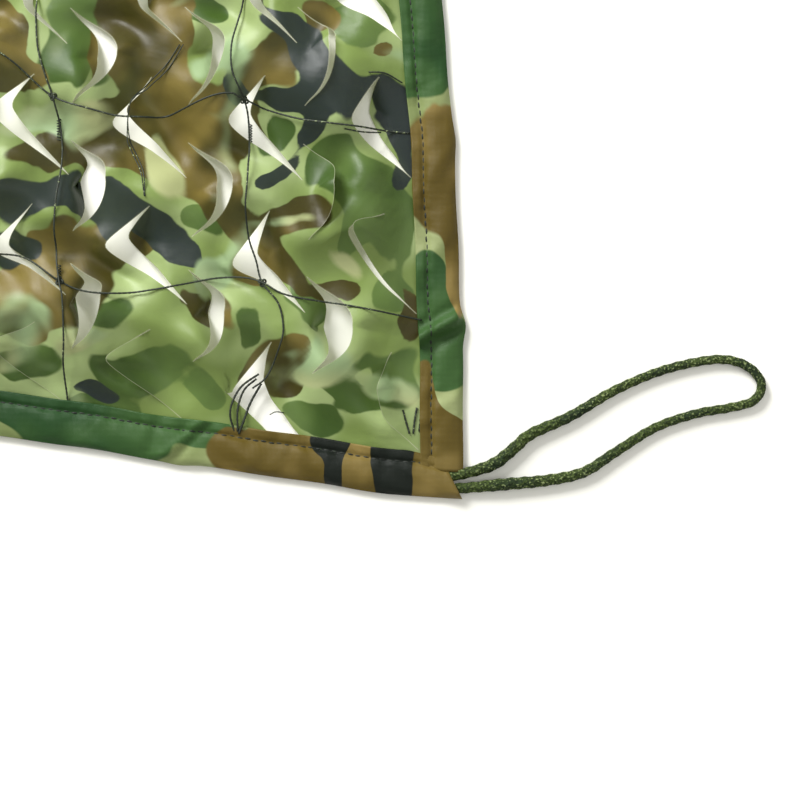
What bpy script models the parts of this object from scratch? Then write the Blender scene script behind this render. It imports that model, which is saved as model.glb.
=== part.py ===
"""Camouflage net laid out on a flat surface.

One sheet of leaf-cut garnish cloth is held in four folded binding strips. The long strips along the
bottom and the top run past the side strips and end in slanted tips. A rope loop is sewn into each tip.
The bottom right corner is the one that lies pulled out the furthest. Lengths are in millimetres and are
turned to metres when a mesh is made. +X is right, +Y is up the net, +Z is up from the surface.
"""

import math

import bmesh
import bpy
import numpy as np
from mathutils import Matrix, Vector

MM = 0.001
GAP = 0.3  # air between two pieces that touch on the real net

# The net as it lies: its corners stand on a square, and each side bows in between them.
HALF_NET = 300.0
BOWS = {  # how far the middle of a side is drawn in, and how late the side starts to turn in
    "bottom": {"depth": 32.5, "power": 1.4},
    "top": {"depth": 26.0, "power": 1.5},
    "right": {"depth": 12.0, "power": 3.0},
    "left": {"depth": 14.0, "power": 2.4},
}
DRAWN_IN = 200.0  # the cloth this near to a side is drawn in with it

# Leaf cuts: the cloth is die-cut in a repeat of two cuts, one pointing right and one pointing left.
REPEAT_X = 49.5
REPEAT_Y = 57.5
STEPS = 6  # lattice steps in one repeat, each way
STEP_X = REPEAT_X / STEPS
STEP_Y = REPEAT_Y / STEPS
FIRST_TIP = (207.0, -174.5)  # the tip of one right-pointing cut, which sets where all of them lie
CLOTH_STEPS = {"left": -59.75, "right": 9.75, "bottom": -11.75, "top": 48.25}  # from that tip
OUTWARD = {"left": (-1, 0, 0), "right": (1, 0, 0), "bottom": (0, -1, 0), "top": (0, 1, 0)}
CLOTH_THICK = 1.2
CUT_MARGIN = 16.0  # no gap opens nearer than this to the edge of the cloth
OPEN_SHARE = 0.86  # the rest of the cuts lie shut
CURLS = (0.55, 1.45)  # least and most that a leaf curls, as a share of its usual lift
TURNS = (0.7, 1.3)  # least and most that a gap opens, as a share of its usual width
MOOD_SEED = 7
CLOTH_MIDDLE_REPEATS = (-4, 3)  # the repeat near the middle of the cloth, counted from the first

# Height of the cloth's middle above the surface
EDGE_HEIGHT = 1.9
BODY_HEIGHT = 6.4
RISE_FROM, RISE_OVER = 17.0, 32.0
ROLL_HEIGHT = 1.9
ROLLS = (  # two long swells over the sheet: how long, how far they slant each way, how high, where they start
    {"length": 133.0, "x": 1.0, "y": 0.4, "share": 1.0, "phase": 0.0},
    {"length": 91.0, "x": -0.25, "y": 1.0, "share": 0.8, "phase": 1.0},
)
LOWEST, HIGHEST = 1.1, 19.0

# Binding strips: folded once along their outer edge, with the cloth's edge inside the fold.
BINDING_WIDTHS = {"bottom": 18.8, "top": 18.4, "right": 17.8, "left": 18.1}
BINDING_PLY = 1.0
FOLD_SOLID = 9.0
SLOT_HEIGHT = CLOTH_THICK + 2.0 * GAP
BINDING_THICK = 2.0 * BINDING_PLY + SLOT_HEIGHT
BINDING_STATIONS = 13
TIP_SLANT = 8.8  # how far the inner edge of a slanted tip falls short of its outer edge
TIP_NARROWING = 2.2
TIP_TAPER = 15.0
SIDE_START = 15.8  # the side strips start this far from the corner at their outer edge
SIDE_SLOPE = 0.30

# Corner loops
ROPE = 4.6
ROPE_POINT_SPACING = 3.25 * ROPE
ROPE_MIDDLE = ROPE / 2 + 0.05  # height of the rope's centre line
CURVE_STEPS = 12  # points worked out between two stops of a route
LOOP_AXIS = {"start": 6.9, "slope": 0.36}  # the line a loop lies about: how far in at the tip, and its rise
SWING_FROM = 12.0  # a loop lies straight until it is this far out
LOOP_ROUTE = (  # out from the corner's tip, and in towards the net, for the bottom right loop
    {"out": -2.6, "in": 9.6},
    {"out": 5.5, "in": 11.6},
    {"out": 14.0, "in": 14.8},
    {"out": 22.0, "in": 21.2},
    {"out": 29.0, "in": 27.0},
    {"out": 45.4, "in": 34.4},
    {"out": 63.4, "in": 44.9},
    {"out": 82.0, "in": 52.9},
    {"out": 99.0, "in": 57.2},
    {"out": 111.0, "in": 58.0},
    {"out": 120.5, "in": 54.6},
    {"out": 125.4, "in": 47.6},
    {"out": 122.0, "in": 40.8},
    {"out": 111.5, "in": 37.8},
    {"out": 98.0, "in": 35.4},
    {"out": 81.0, "in": 29.6},
    {"out": 64.0, "in": 19.2},
    {"out": 51.0, "in": 11.0},
    {"out": 36.0, "in": 7.6},
    {"out": 18.0, "in": 5.9},
    {"out": 1.0, "in": 4.3},
)
CORNERS = (  # the side that a corner is on, each way, and how its loop is laid: wider or closer, and swung
    {"name": "bottom_right", "x": 1, "y": -1, "spread": 1.0, "swing": 0.0},
    {"name": "top_right", "x": 1, "y": 1, "spread": 0.8, "swing": -0.2},
    {"name": "top_left", "x": -1, "y": 1, "spread": 1.12, "swing": 0.06},
    {"name": "bottom_left", "x": -1, "y": -1, "spread": 0.9, "swing": -0.1},
)

COLOURS = {
    "garnish_cloth": (0.10, 0.16, 0.05, 1.0),
    "binding": (0.05, 0.13, 0.05, 1.0),
    "rope": (0.07, 0.12, 0.03, 1.0),
}
ROUGHNESS = {"garnish_cloth": 0.4, "binding": 0.45, "rope": 0.8}


def clear_scene():
    """Remove every object that the file opened with."""
    for obj in list(bpy.data.objects):
        bpy.data.objects.remove(obj, do_unlink=True)


def make_material(name):
    """A plain Principled finish."""
    material = bpy.data.materials.new(name)
    material.use_nodes = True
    shader = material.node_tree.nodes["Principled BSDF"]
    shader.inputs["Base Color"].default_value = COLOURS[name]
    shader.inputs["Roughness"].default_value = ROUGHNESS[name]
    shader.inputs["Metallic"].default_value = 0.0
    return material


def bow(side, along):
    """How far a side is drawn in at a distance along it from its middle."""
    reach = max(0.0, math.cos(0.5 * math.pi * min(1.0, abs(along) / HALF_NET)))
    return BOWS[side]["depth"] * reach ** BOWS[side]["power"]


def smooth_step(value):
    """0 below 0, 1 above 1, and an even rise between."""
    value = min(1.0, max(0.0, value))
    return value * value * (3.0 - 2.0 * value)


def cloth_limits():
    """Where the cut edges of the flat cloth are: left, right, bottom, top."""
    return {
        "left": FIRST_TIP[0] + CLOTH_STEPS["left"] * STEP_X,
        "right": FIRST_TIP[0] + CLOTH_STEPS["right"] * STEP_X,
        "bottom": FIRST_TIP[1] + CLOTH_STEPS["bottom"] * STEP_Y,
        "top": FIRST_TIP[1] + CLOTH_STEPS["top"] * STEP_Y,
    }


def laid_place(x, y, limits):
    """Where a point of the flat cloth lies once its sides are drawn in."""
    def pull(distance):
        return max(0.0, 1.0 - distance / DRAWN_IN) ** 2

    shift_x = bow("left", y) * pull(x - limits["left"]) - bow("right", y) * pull(limits["right"] - x)
    shift_y = bow("bottom", x) * pull(y - limits["bottom"]) - bow("top", x) * pull(limits["top"] - y)
    return x + shift_x, y + shift_y


def edge_distance(x, y, limits):
    """How far a point of the flat cloth is from the cloth's nearest edge."""
    return min(x - limits["left"], limits["right"] - x, y - limits["bottom"], limits["top"] - y)


def lattice_index(point):
    """The whole lattice steps of a flat point from the first tip."""
    return round((point.x - FIRST_TIP[0]) / STEP_X), round((point.y - FIRST_TIP[1]) / STEP_Y)


# Each cut's gap is told by the lattice places of the faces taken out, counted from its repeat's tip.
RIGHT_GAP = ((-1, 0),)
LEFT_GAP = ((0, -3), (1, -4), (2, -5))
# Corners of the gaps, in lattice steps from the repeat's tip, with how each moves to give the gap its
# true width and how far it is curled up or pressed down.
GAP_CORNERS = {
    (0, 0): {"x": 0.5, "y": 0.0, "lift": -2.6},
    (-2, 0): {"x": 5.6, "y": 0.0, "lift": 7.4},
    (-1, 1): {"x": -2.2, "y": 4.4, "lift": 0.4},
    (-1, -1): {"x": -3.6, "y": -3.2, "lift": -0.6},
    (0, -2): {"x": -2.3, "y": -2.4, "lift": 3.4},
    (1, -3): {"x": -2.6, "y": -2.6, "lift": 5.0},
    (2, -4): {"x": -2.6, "y": -2.6, "lift": 2.2},
    (3, -5): {"x": -2.2, "y": -2.0, "lift": 0.0},
    (-1, -3): {"x": 2.3, "y": 2.2, "lift": -1.8},
    (0, -4): {"x": 2.4, "y": 2.2, "lift": -3.4},
    (1, -5): {"x": 2.4, "y": 2.2, "lift": -1.6},
    (2, -6): {"x": 2.2, "y": 2.2, "lift": 0.0},
}


def repeat_of(index):
    """The repeats, by column and row, whose gaps could use a lattice place, with the place in each."""
    column, row = index[0] // STEPS, index[1] // STEPS
    for across in (column, column + 1):
        for down in (row, row + 1):
            yield (across, down), (index[0] - across * STEPS, index[1] - down * STEPS)


def diamond_lattice(limits):
    """A flat grid of diamonds over the whole cloth, trimmed to its cut edges."""
    reach = 2 * max(abs(steps) for steps in CLOTH_STEPS.values())
    bm = bmesh.new()
    count = int(reach) // 2 * 2
    bmesh.ops.create_grid(bm, x_segments=count, y_segments=count, size=0.5 * count)
    across, up = CLOTH_MIDDLE_REPEATS
    middle = Vector((FIRST_TIP[0] + across * REPEAT_X, FIRST_TIP[1] + up * REPEAT_Y, 0.0))
    diamond = Matrix(((STEP_X, -STEP_X, 0, 0), (STEP_Y, STEP_Y, 0, 0), (0, 0, 1, 0), (0, 0, 0, 1)))
    bmesh.ops.transform(bm, matrix=Matrix.Translation(middle) @ diamond, verts=bm.verts)
    for side, normal in OUTWARD.items():
        place = (limits[side], 0, 0) if normal[0] else (0, limits[side], 0)
        geometry = bm.verts[:] + bm.edges[:] + bm.faces[:]
        bmesh.ops.bisect_plane(bm, geom=geometry, plane_co=place, plane_no=normal, clear_outer=True, dist=1e-4)
    return bm


def draw_moods():
    """How each repeat's cuts lie, by column and row: open or shut, and how far they curl and turn."""
    rng = np.random.default_rng(MOOD_SEED)
    columns = range(int(CLOTH_STEPS["left"]) // STEPS - 1, int(CLOTH_STEPS["right"]) // STEPS + 3)
    rows = range(int(CLOTH_STEPS["bottom"]) // STEPS - 1, int(CLOTH_STEPS["top"]) // STEPS + 3)
    mood = {}
    for column in columns:
        for row in rows:
            draws = rng.random(4)
            mood[column, row] = {
                "right": draws[0] < OPEN_SHARE,
                "left": draws[1] < OPEN_SHARE,
                "curl": CURLS[0] + (CURLS[1] - CURLS[0]) * draws[2],
                "turn": TURNS[0] + (TURNS[1] - TURNS[0]) * draws[3],
            }
    return mood


def make_cloth(collection, material):
    """The garnish cloth: a sheet on a lattice of diamonds, whose lines run the way that the cuts do."""
    limits = cloth_limits()
    bm = diamond_lattice(limits)
    mood = draw_moods()
    open_gaps = open_gap_faces(bm, mood, limits)
    bmesh.ops.delete(bm, geom=[face for faces in open_gaps.values() for face in faces], context="FACES")
    shape_cloth(bm, open_gaps, mood, limits)

    mesh = bpy.data.meshes.new("garnish_cloth")
    bmesh.ops.scale(bm, vec=(MM, MM, MM), verts=bm.verts)
    bm.to_mesh(mesh)
    bm.free()
    cloth = add_object(collection, "garnish_cloth", mesh, material)
    solidify = cloth.modifiers.new("thickness", "SOLIDIFY")
    solidify.thickness = CLOTH_THICK * MM
    solidify.offset = 0.0
    return cloth


def open_gap_faces(bm, mood, limits):
    """The faces that each open gap takes out, by repeat and by the way that its cut points."""
    at_place = {lattice_index(face.calc_center_median()): face for face in bm.faces if len(face.verts) == 4}
    gaps = {}
    for repeat, moods in mood.items():
        for way, steps in (("right", RIGHT_GAP), ("left", LEFT_GAP)):
            places = [(repeat[0] * STEPS + i, repeat[1] * STEPS + j) for i, j in steps]
            faces = [at_place[place] for place in places if place in at_place]
            if not moods[way] or len(faces) < len(places):
                continue
            nearest = min(edge_distance(v.co.x, v.co.y, limits) for face in faces for v in face.verts)
            if nearest > CUT_MARGIN:
                gaps[repeat, way] = faces
    return gaps


def shape_cloth(bm, open_gaps, mood, limits):
    """Give the gaps their width, curl the leaves, roll the sheet and draw its sides in."""
    for vert in bm.verts:
        x, y = vert.co.x, vert.co.y
        index = lattice_index(vert.co)
        rise = smooth_step((edge_distance(x, y, limits) - RISE_FROM) / RISE_OVER)
        height = BODY_HEIGHT
        for roll in ROLLS:
            beat = (roll["x"] * x + roll["y"] * y) / roll["length"]
            height += ROLL_HEIGHT * roll["share"] * math.sin(2 * math.pi * beat + roll["phase"])
        for repeat, place in repeat_of(index):
            corner = GAP_CORNERS.get(place)
            way = "right" if place[1] >= -1 else "left"
            if corner is None or (repeat, way) not in open_gaps:
                continue
            x += corner["x"] * mood[repeat]["turn"]
            y += corner["y"] * mood[repeat]["turn"]
            height += corner["lift"] * mood[repeat]["curl"]
        height = EDGE_HEIGHT + rise * (height - EDGE_HEIGHT)
        laid = laid_place(x, y, limits)
        vert.co = (laid[0], laid[1], min(HIGHEST, max(LOWEST, height)))


def add_object(collection, name, mesh, material):
    """Put a mesh in the collection under its own name and finish."""
    obj = bpy.data.objects.new(name, mesh)
    obj.data.materials.append(material)
    collection.objects.link(obj)
    return obj


def fold_section(width):
    """The section of a folded strip: how far in from its outer edge, and how high, corner by corner."""
    return (
        (0.0, 0.0),
        (width, 0.0),
        (width, BINDING_PLY),
        (FOLD_SOLID, BINDING_PLY),
        (FOLD_SOLID, BINDING_PLY + SLOT_HEIGHT),
        (width, BINDING_PLY + SLOT_HEIGHT),
        (width, BINDING_THICK),
        (0.0, BINDING_THICK),
    )


def binding_station(side, along, width, slope):
    """One section of a strip, standing across it. slope leans the section along the strip."""
    points = []
    for inward, height in fold_section(width):
        lengthways = along + slope * inward
        across = HALF_NET - bow(side, lengthways) - inward
        place = {
            "bottom": (lengthways, -across),
            "top": (lengthways, across),
            "right": (across, lengthways),
            "left": (-across, lengthways),
        }[side]
        points.append(Vector((place[0], place[1], height)))
    return points


def binding_stations(side):
    """All the sections of a strip, from one end to the other."""
    width = BINDING_WIDTHS[side]
    crossing = side in ("bottom", "top")
    end = HALF_NET if crossing else HALF_NET - SIDE_START
    stations = []
    for number in range(BINDING_STATIONS):
        share = 2.0 * number / (BINDING_STATIONS - 1) - 1.0
        along = end * math.sin(0.5 * math.pi * share) if crossing else end * share
        narrowing = TIP_NARROWING * smooth_step(1.0 - (end - abs(along)) / TIP_TAPER) if crossing else 0.0
        lean = TIP_SLANT / (width - narrowing) if crossing else SIDE_SLOPE
        slope = -math.copysign(lean, share) if abs(share) == 1.0 else 0.0
        stations.append(binding_station(side, along, width - narrowing, slope))
    return stations


def make_binding(collection, side, material):
    """A binding strip: its folded section carried along the side of the net."""
    bm = bmesh.new()
    stations = [[bm.verts.new(point * MM) for point in station] for station in binding_stations(side)]
    corners = len(stations[0])
    bm.faces.new(stations[0])
    bm.faces.new(reversed(stations[-1]))
    for near, far in zip(stations, stations[1:]):
        for corner in range(corners):
            after = (corner + 1) % corners
            bm.faces.new((near[after], near[corner], far[corner], far[after]))
    bmesh.ops.recalc_face_normals(bm, faces=bm.faces)
    mesh = bpy.data.meshes.new("binding_" + side)
    bm.to_mesh(mesh)
    bm.free()
    return add_object(collection, "binding_" + side, mesh, material)


def loop_points(corner):
    """The route of a corner's loop, as points on the surface."""
    points = []
    for stop in LOOP_ROUTE:
        out = stop["out"]
        middle = LOOP_AXIS["start"] + LOOP_AXIS["slope"] * out
        inward = middle + corner["spread"] * (stop["in"] - middle)
        inward += corner["swing"] * max(0.0, out - SWING_FROM)
        x, y = corner["x"] * (HALF_NET + out), corner["y"] * (HALF_NET - inward)
        points.append(Vector((x, y, ROPE_MIDDLE)))
    return points


def smooth_curve(points, spacing):
    """Points about one spacing apart on the smooth curve through all of the given ones."""
    padded = [2 * points[0] - points[1]] + points + [2 * points[-1] - points[-2]]
    fine = []
    for before, start, end, after in zip(padded, padded[1:], padded[2:], padded[3:]):
        for step in range(CURVE_STEPS):
            t = step / CURVE_STEPS
            bend = (2 * before - 5 * start + 4 * end - after) * t * t
            twist = (3 * start - before - 3 * end + after) * t * t * t
            fine.append(0.5 * (2 * start + (end - before) * t + bend + twist))
    fine.append(points[-1])
    lengths = [0.0]
    for one, other in zip(fine, fine[1:]):
        lengths.append(lengths[-1] + (other - one).length)
    count = max(2, round(lengths[-1] / spacing))
    wanted = np.linspace(0.0, lengths[-1], count + 1)
    axes = [np.interp(wanted, lengths, [point[axis] for point in fine]) for axis in range(3)]
    return [Vector(values) for values in zip(*axes)]


def make_loop(collection, corner, material):
    """A rope loop, as a plain round tube along its route."""
    name = "loop_" + corner["name"]
    points = smooth_curve(loop_points(corner), ROPE_POINT_SPACING)
    curve = bpy.data.curves.new(name, "CURVE")
    curve.dimensions = "3D"
    curve.bevel_depth = ROPE / 2 * MM
    curve.bevel_resolution = 2
    curve.use_fill_caps = True
    spline = curve.splines.new("POLY")
    spline.points.add(len(points) - 1)
    for target, point in zip(spline.points, points):
        target.co = (*(point * MM), 1.0)
    curve.materials.append(material)
    loop = bpy.data.objects.new(name, curve)
    collection.objects.link(loop)
    return loop


def main():
    """Build the net."""
    clear_scene()
    collection = bpy.data.collections.new("camouflage_net")
    bpy.context.scene.collection.children.link(collection)
    cloth = make_material("garnish_cloth")
    binding = make_material("binding")
    rope = make_material("rope")
    make_cloth(collection, cloth)
    for side in BINDING_WIDTHS:
        make_binding(collection, side, binding)
    for corner in CORNERS:
        make_loop(collection, corner, rope)


main()
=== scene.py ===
"""Looks of a camouflage net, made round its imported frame.

The net is one sheet of leaf-cut garnish cloth in four folded bindings, under a knotted mesh of thin
carrying cords, with a braided rope loop at each corner. Plans are worked out in millimetres, and a mesh
is turned to metres when it is made. +X is right, +Y is up the net, and +Z is up from the surface.
"""

import logging
import math
from dataclasses import dataclass, field
from enum import Enum

import bmesh
import bpy
import numpy as np
from mathutils import Matrix, Vector
from mathutils.bvhtree import BVHTree


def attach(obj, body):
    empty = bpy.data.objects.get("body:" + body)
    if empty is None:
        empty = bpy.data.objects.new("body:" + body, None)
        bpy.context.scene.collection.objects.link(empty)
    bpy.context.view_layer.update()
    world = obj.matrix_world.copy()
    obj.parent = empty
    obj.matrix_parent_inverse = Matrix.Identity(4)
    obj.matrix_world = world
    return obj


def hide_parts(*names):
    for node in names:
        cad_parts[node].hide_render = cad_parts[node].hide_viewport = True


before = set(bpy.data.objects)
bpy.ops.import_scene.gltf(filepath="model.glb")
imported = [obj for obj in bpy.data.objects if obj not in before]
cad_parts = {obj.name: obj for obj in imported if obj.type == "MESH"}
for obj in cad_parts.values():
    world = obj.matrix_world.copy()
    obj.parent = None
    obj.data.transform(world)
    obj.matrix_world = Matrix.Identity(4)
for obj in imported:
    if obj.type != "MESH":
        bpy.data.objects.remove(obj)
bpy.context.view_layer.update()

MM = 0.001
LOG = logging.getLogger("camouflage_net")


# ---------------------------------------------------------------- plan of the net


class Side(Enum):
    """A side of the net."""

    BOTTOM = "bottom"
    TOP = "top"
    RIGHT = "right"
    LEFT = "left"

    @property
    def crossing(self) -> bool:
        """True for the long bindings, which run past the side ones."""
        return self in (Side.BOTTOM, Side.TOP)


@dataclass(frozen=True)
class Bow:
    """How far the middle of a side is drawn in, and how late the side starts to turn in."""

    depth: float
    power: float


@dataclass(frozen=True)
class NetPlan:
    """The net's outline and where its cloth ends, as the frame has them."""

    half: float = 300.0
    drawn_in: float = 200.0
    bows: dict = field(
        default_factory=lambda: {
            Side.BOTTOM: Bow(32.5, 1.4),
            Side.TOP: Bow(26.0, 1.5),
            Side.RIGHT: Bow(12.0, 3.0),
            Side.LEFT: Bow(14.0, 2.4),
        }
    )
    widths: dict = field(
        default_factory=lambda: {Side.BOTTOM: 18.8, Side.TOP: 18.4, Side.RIGHT: 17.8, Side.LEFT: 18.1}
    )
    first_tip: tuple = (207.0, -174.5)
    repeat: tuple = (49.5, 57.5)

    def bow(self, side: Side, along: np.ndarray) -> np.ndarray:
        """How far a side is drawn in at a distance along it from its middle."""
        reach = np.cos(0.5 * np.pi * np.minimum(1.0, np.abs(along) / self.half))
        return self.bows[side].depth * np.maximum(reach, 0.0) ** self.bows[side].power

    def limits(self) -> dict:
        """Where the cut edges of the flat cloth are.

        Returns:
            Each side's cut edge, by side, as a distance from the net's middle.
        """
        step_x, step_y = self.repeat[0] / 6, self.repeat[1] / 6
        return {
            Side.LEFT: self.first_tip[0] - 59.75 * step_x,
            Side.RIGHT: self.first_tip[0] + 9.75 * step_x,
            Side.BOTTOM: self.first_tip[1] - 11.75 * step_y,
            Side.TOP: self.first_tip[1] + 48.25 * step_y,
        }

    def laid(self, x: np.ndarray, y: np.ndarray) -> tuple:
        """Where points of the flat cloth lie once its sides are drawn in.

        Args:
            x, y: places on the flat cloth.

        Returns:
            The places on the surface.
        """
        ends = self.limits()

        def pull(distance: np.ndarray) -> np.ndarray:
            """The share of a side's bow that cloth this far from it takes."""
            return np.maximum(0.0, 1.0 - distance / self.drawn_in) ** 2

        shift_x = self.bow(Side.LEFT, y) * pull(x - ends[Side.LEFT])
        shift_x = shift_x - self.bow(Side.RIGHT, y) * pull(ends[Side.RIGHT] - x)
        shift_y = self.bow(Side.BOTTOM, x) * pull(y - ends[Side.BOTTOM])
        shift_y = shift_y - self.bow(Side.TOP, x) * pull(ends[Side.TOP] - y)
        return x + shift_x, y + shift_y

    def edge_distance(self, x: np.ndarray, y: np.ndarray) -> np.ndarray:
        """How far points of the flat cloth are from its nearest edge.

        Args:
            x, y: places on the flat cloth.

        Returns:
            The distances, which are below 0 outside.
        """
        ends = self.limits()
        across = np.minimum(x - ends[Side.LEFT], ends[Side.RIGHT] - x)
        return np.minimum(across, np.minimum(y - ends[Side.BOTTOM], ends[Side.TOP] - y))

    def place(self, side: Side, along: np.ndarray, inward: np.ndarray) -> tuple:
        """Where a point of a binding lies, from how far along and how far in it is.

        Args:
            side: the binding's side.
            along: distances along it from its middle.
            inward: distances in from its outer edge.

        Returns:
            The x and y of each place.
        """
        across = self.half - self.bow(side, along) - inward
        return {
            Side.BOTTOM: (along, -across),
            Side.TOP: (along, across),
            Side.RIGHT: (across, along),
            Side.LEFT: (-across, along),
        }[side]


PLAN = NetPlan()


def smooth_step(value: np.ndarray) -> np.ndarray:
    """0 below 0, 1 above 1, and an even rise between."""
    value = np.clip(value, 0.0, 1.0)
    return value * value * (3.0 - 2.0 * value)


# ---------------------------------------------------------------- meshes


def mesh_from(bm: bmesh.types.BMesh, name: str) -> bpy.types.Mesh:
    """Write a bmesh to a new mesh and free it.

    Args:
        bm: the bmesh.
        name: the mesh's name.

    Returns:
        The new mesh.
    """
    mesh = bpy.data.meshes.new(name)
    bm.to_mesh(mesh)
    bm.free()
    return mesh


def add_object(name: str, mesh: bpy.types.Mesh, finish: bpy.types.Material) -> bpy.types.Object:
    """Put a mesh in the scene at the origin, shaded smooth, with its finish.

    Args:
        name: the piece's name.
        mesh: its mesh, in metres.
        finish: its material.

    Returns:
        The object.
    """
    obj = bpy.data.objects.new(name, mesh)
    bpy.context.scene.collection.objects.link(obj)
    mesh.materials.clear()
    mesh.materials.append(finish)
    mesh.shade_smooth()
    return obj


def grid_mesh(points: np.ndarray, round_joint: bool = False, lids: bool = False) -> bmesh.types.BMesh:
    """A grid whose vertices are put on given points.

    Args:
        points: places in millimetres, as rows by columns by 3.
        round_joint: weld the last column to the first, for a tube.
        lids: fill a tube's two ends.

    Returns:
        A bmesh in metres.
    """
    rows, columns = points.shape[:2]
    bm = bmesh.new()
    bmesh.ops.create_grid(bm, x_segments=columns - 1, y_segments=rows - 1, size=0.5, calc_uvs=True)
    flat = points.reshape(-1, 3) * MM
    corners = sorted(bm.verts, key=lambda v: (round(v.co.y, 7), round(v.co.x, 7)))
    for vert, place in zip(corners, flat):
        vert.co = place
    if round_joint:
        seam = corners[::columns] + corners[columns - 1 :: columns]
        bmesh.ops.remove_doubles(bm, verts=seam, dist=1e-7)
    if lids:
        rim = [edge for edge in bm.edges if edge.is_boundary]
        bmesh.ops.holes_fill(bm, edges=rim, sides=0)
    bmesh.ops.recalc_face_normals(bm, faces=bm.faces)
    return bm


def smooth_curve(stops: np.ndarray, spacing: float) -> np.ndarray:
    """Points about one spacing apart on the smooth curve through all of the given ones.

    Args:
        stops: places that the curve passes, one to a row.
        spacing: the wanted distance between points.

    Returns:
        The points, one to a row.
    """
    padded = np.vstack([2 * stops[0] - stops[1], stops, 2 * stops[-1] - stops[-2]])
    share = np.arange(12)[:, None] / 12
    fine = []
    for before, start, end, after in zip(padded, padded[1:], padded[2:], padded[3:]):
        bend = (2 * before - 5 * start + 4 * end - after) * share**2
        twist = (3 * start - before - 3 * end + after) * share**3
        fine.append(0.5 * (2 * start + (end - before) * share + bend + twist))
    fine = np.vstack([*fine, stops[-1:]])
    lengths = np.concatenate([[0.0], np.cumsum(np.linalg.norm(np.diff(fine, axis=0), axis=1))])
    count = max(2, round(lengths[-1] / spacing))
    wanted = np.linspace(0.0, lengths[-1], count + 1)
    return np.column_stack([np.interp(wanted, lengths, fine[:, axis]) for axis in range(fine.shape[1])])


def run_frames(centres: np.ndarray) -> tuple:
    """The sideways and upward directions at each point of a run that lies about flat.

    Args:
        centres: the run's points, in order.

    Returns:
        Two directions for each point, each one unit long.
    """
    ahead = np.gradient(centres, axis=0)
    ahead /= np.linalg.norm(ahead, axis=1)[:, None]
    sideways = np.cross(np.array([0.0, 0.0, 1.0]), ahead)
    sideways /= np.linalg.norm(sideways, axis=1)[:, None]
    return sideways, np.cross(ahead, sideways)


def tube_points(centres: np.ndarray, radii: np.ndarray, sides: int) -> np.ndarray:
    """The skin of a run: rings about its centres.

    Args:
        centres: ring centres, in order.
        radii: one radius for each ring and each side.
        sides: how many points a ring has.

    Returns:
        Points as rings by sides + 1 by 3, the last column on the first.
    """
    sideways, upward = run_frames(centres)
    turn = np.linspace(0.0, 2 * np.pi, sides + 1)
    radii = np.column_stack([radii, radii[:, :1]])
    across = sideways[:, None, :] * np.cos(turn)[None, :, None]
    over = upward[:, None, :] * np.sin(turn)[None, :, None]
    return centres[:, None, :] + radii[:, :, None] * (across + over)


# ---------------------------------------------------------------- shader workshop


class Value:
    """A number or colour socket in a node tree, which Python's operators work on."""

    def __init__(self, bench: "Bench", socket: bpy.types.NodeSocket) -> None:
        """Hold a socket of a material that is being made."""
        self.bench = bench
        self.socket = socket

    def _math(self, operation: str, *values: object) -> "Value":
        """Add a Math node."""
        sockets = dict(enumerate(values))
        return self.bench.node("ShaderNodeMath", {"operation": operation}, sockets)

    def __add__(self, other: object) -> "Value":
        """Sum."""
        return self._math("ADD", self, other)

    __radd__ = __add__

    def __sub__(self, other: object) -> "Value":
        """Difference."""
        return self._math("SUBTRACT", self, other)

    def __rsub__(self, other: object) -> "Value":
        """Difference from a number."""
        return self._math("SUBTRACT", other, self)

    def __mul__(self, other: object) -> "Value":
        """Product."""
        return self._math("MULTIPLY", self, other)

    __rmul__ = __mul__

    def between(self, low: float, high: float) -> "Value":
        """0 below low, 1 above high, and a smooth rise between."""
        settings = {"interpolation_type": "SMOOTHSTEP"}
        return self.bench.node("ShaderNodeMapRange", settings, {0: self, 1: low, 2: high, 3: 0.0, 4: 1.0})


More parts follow.
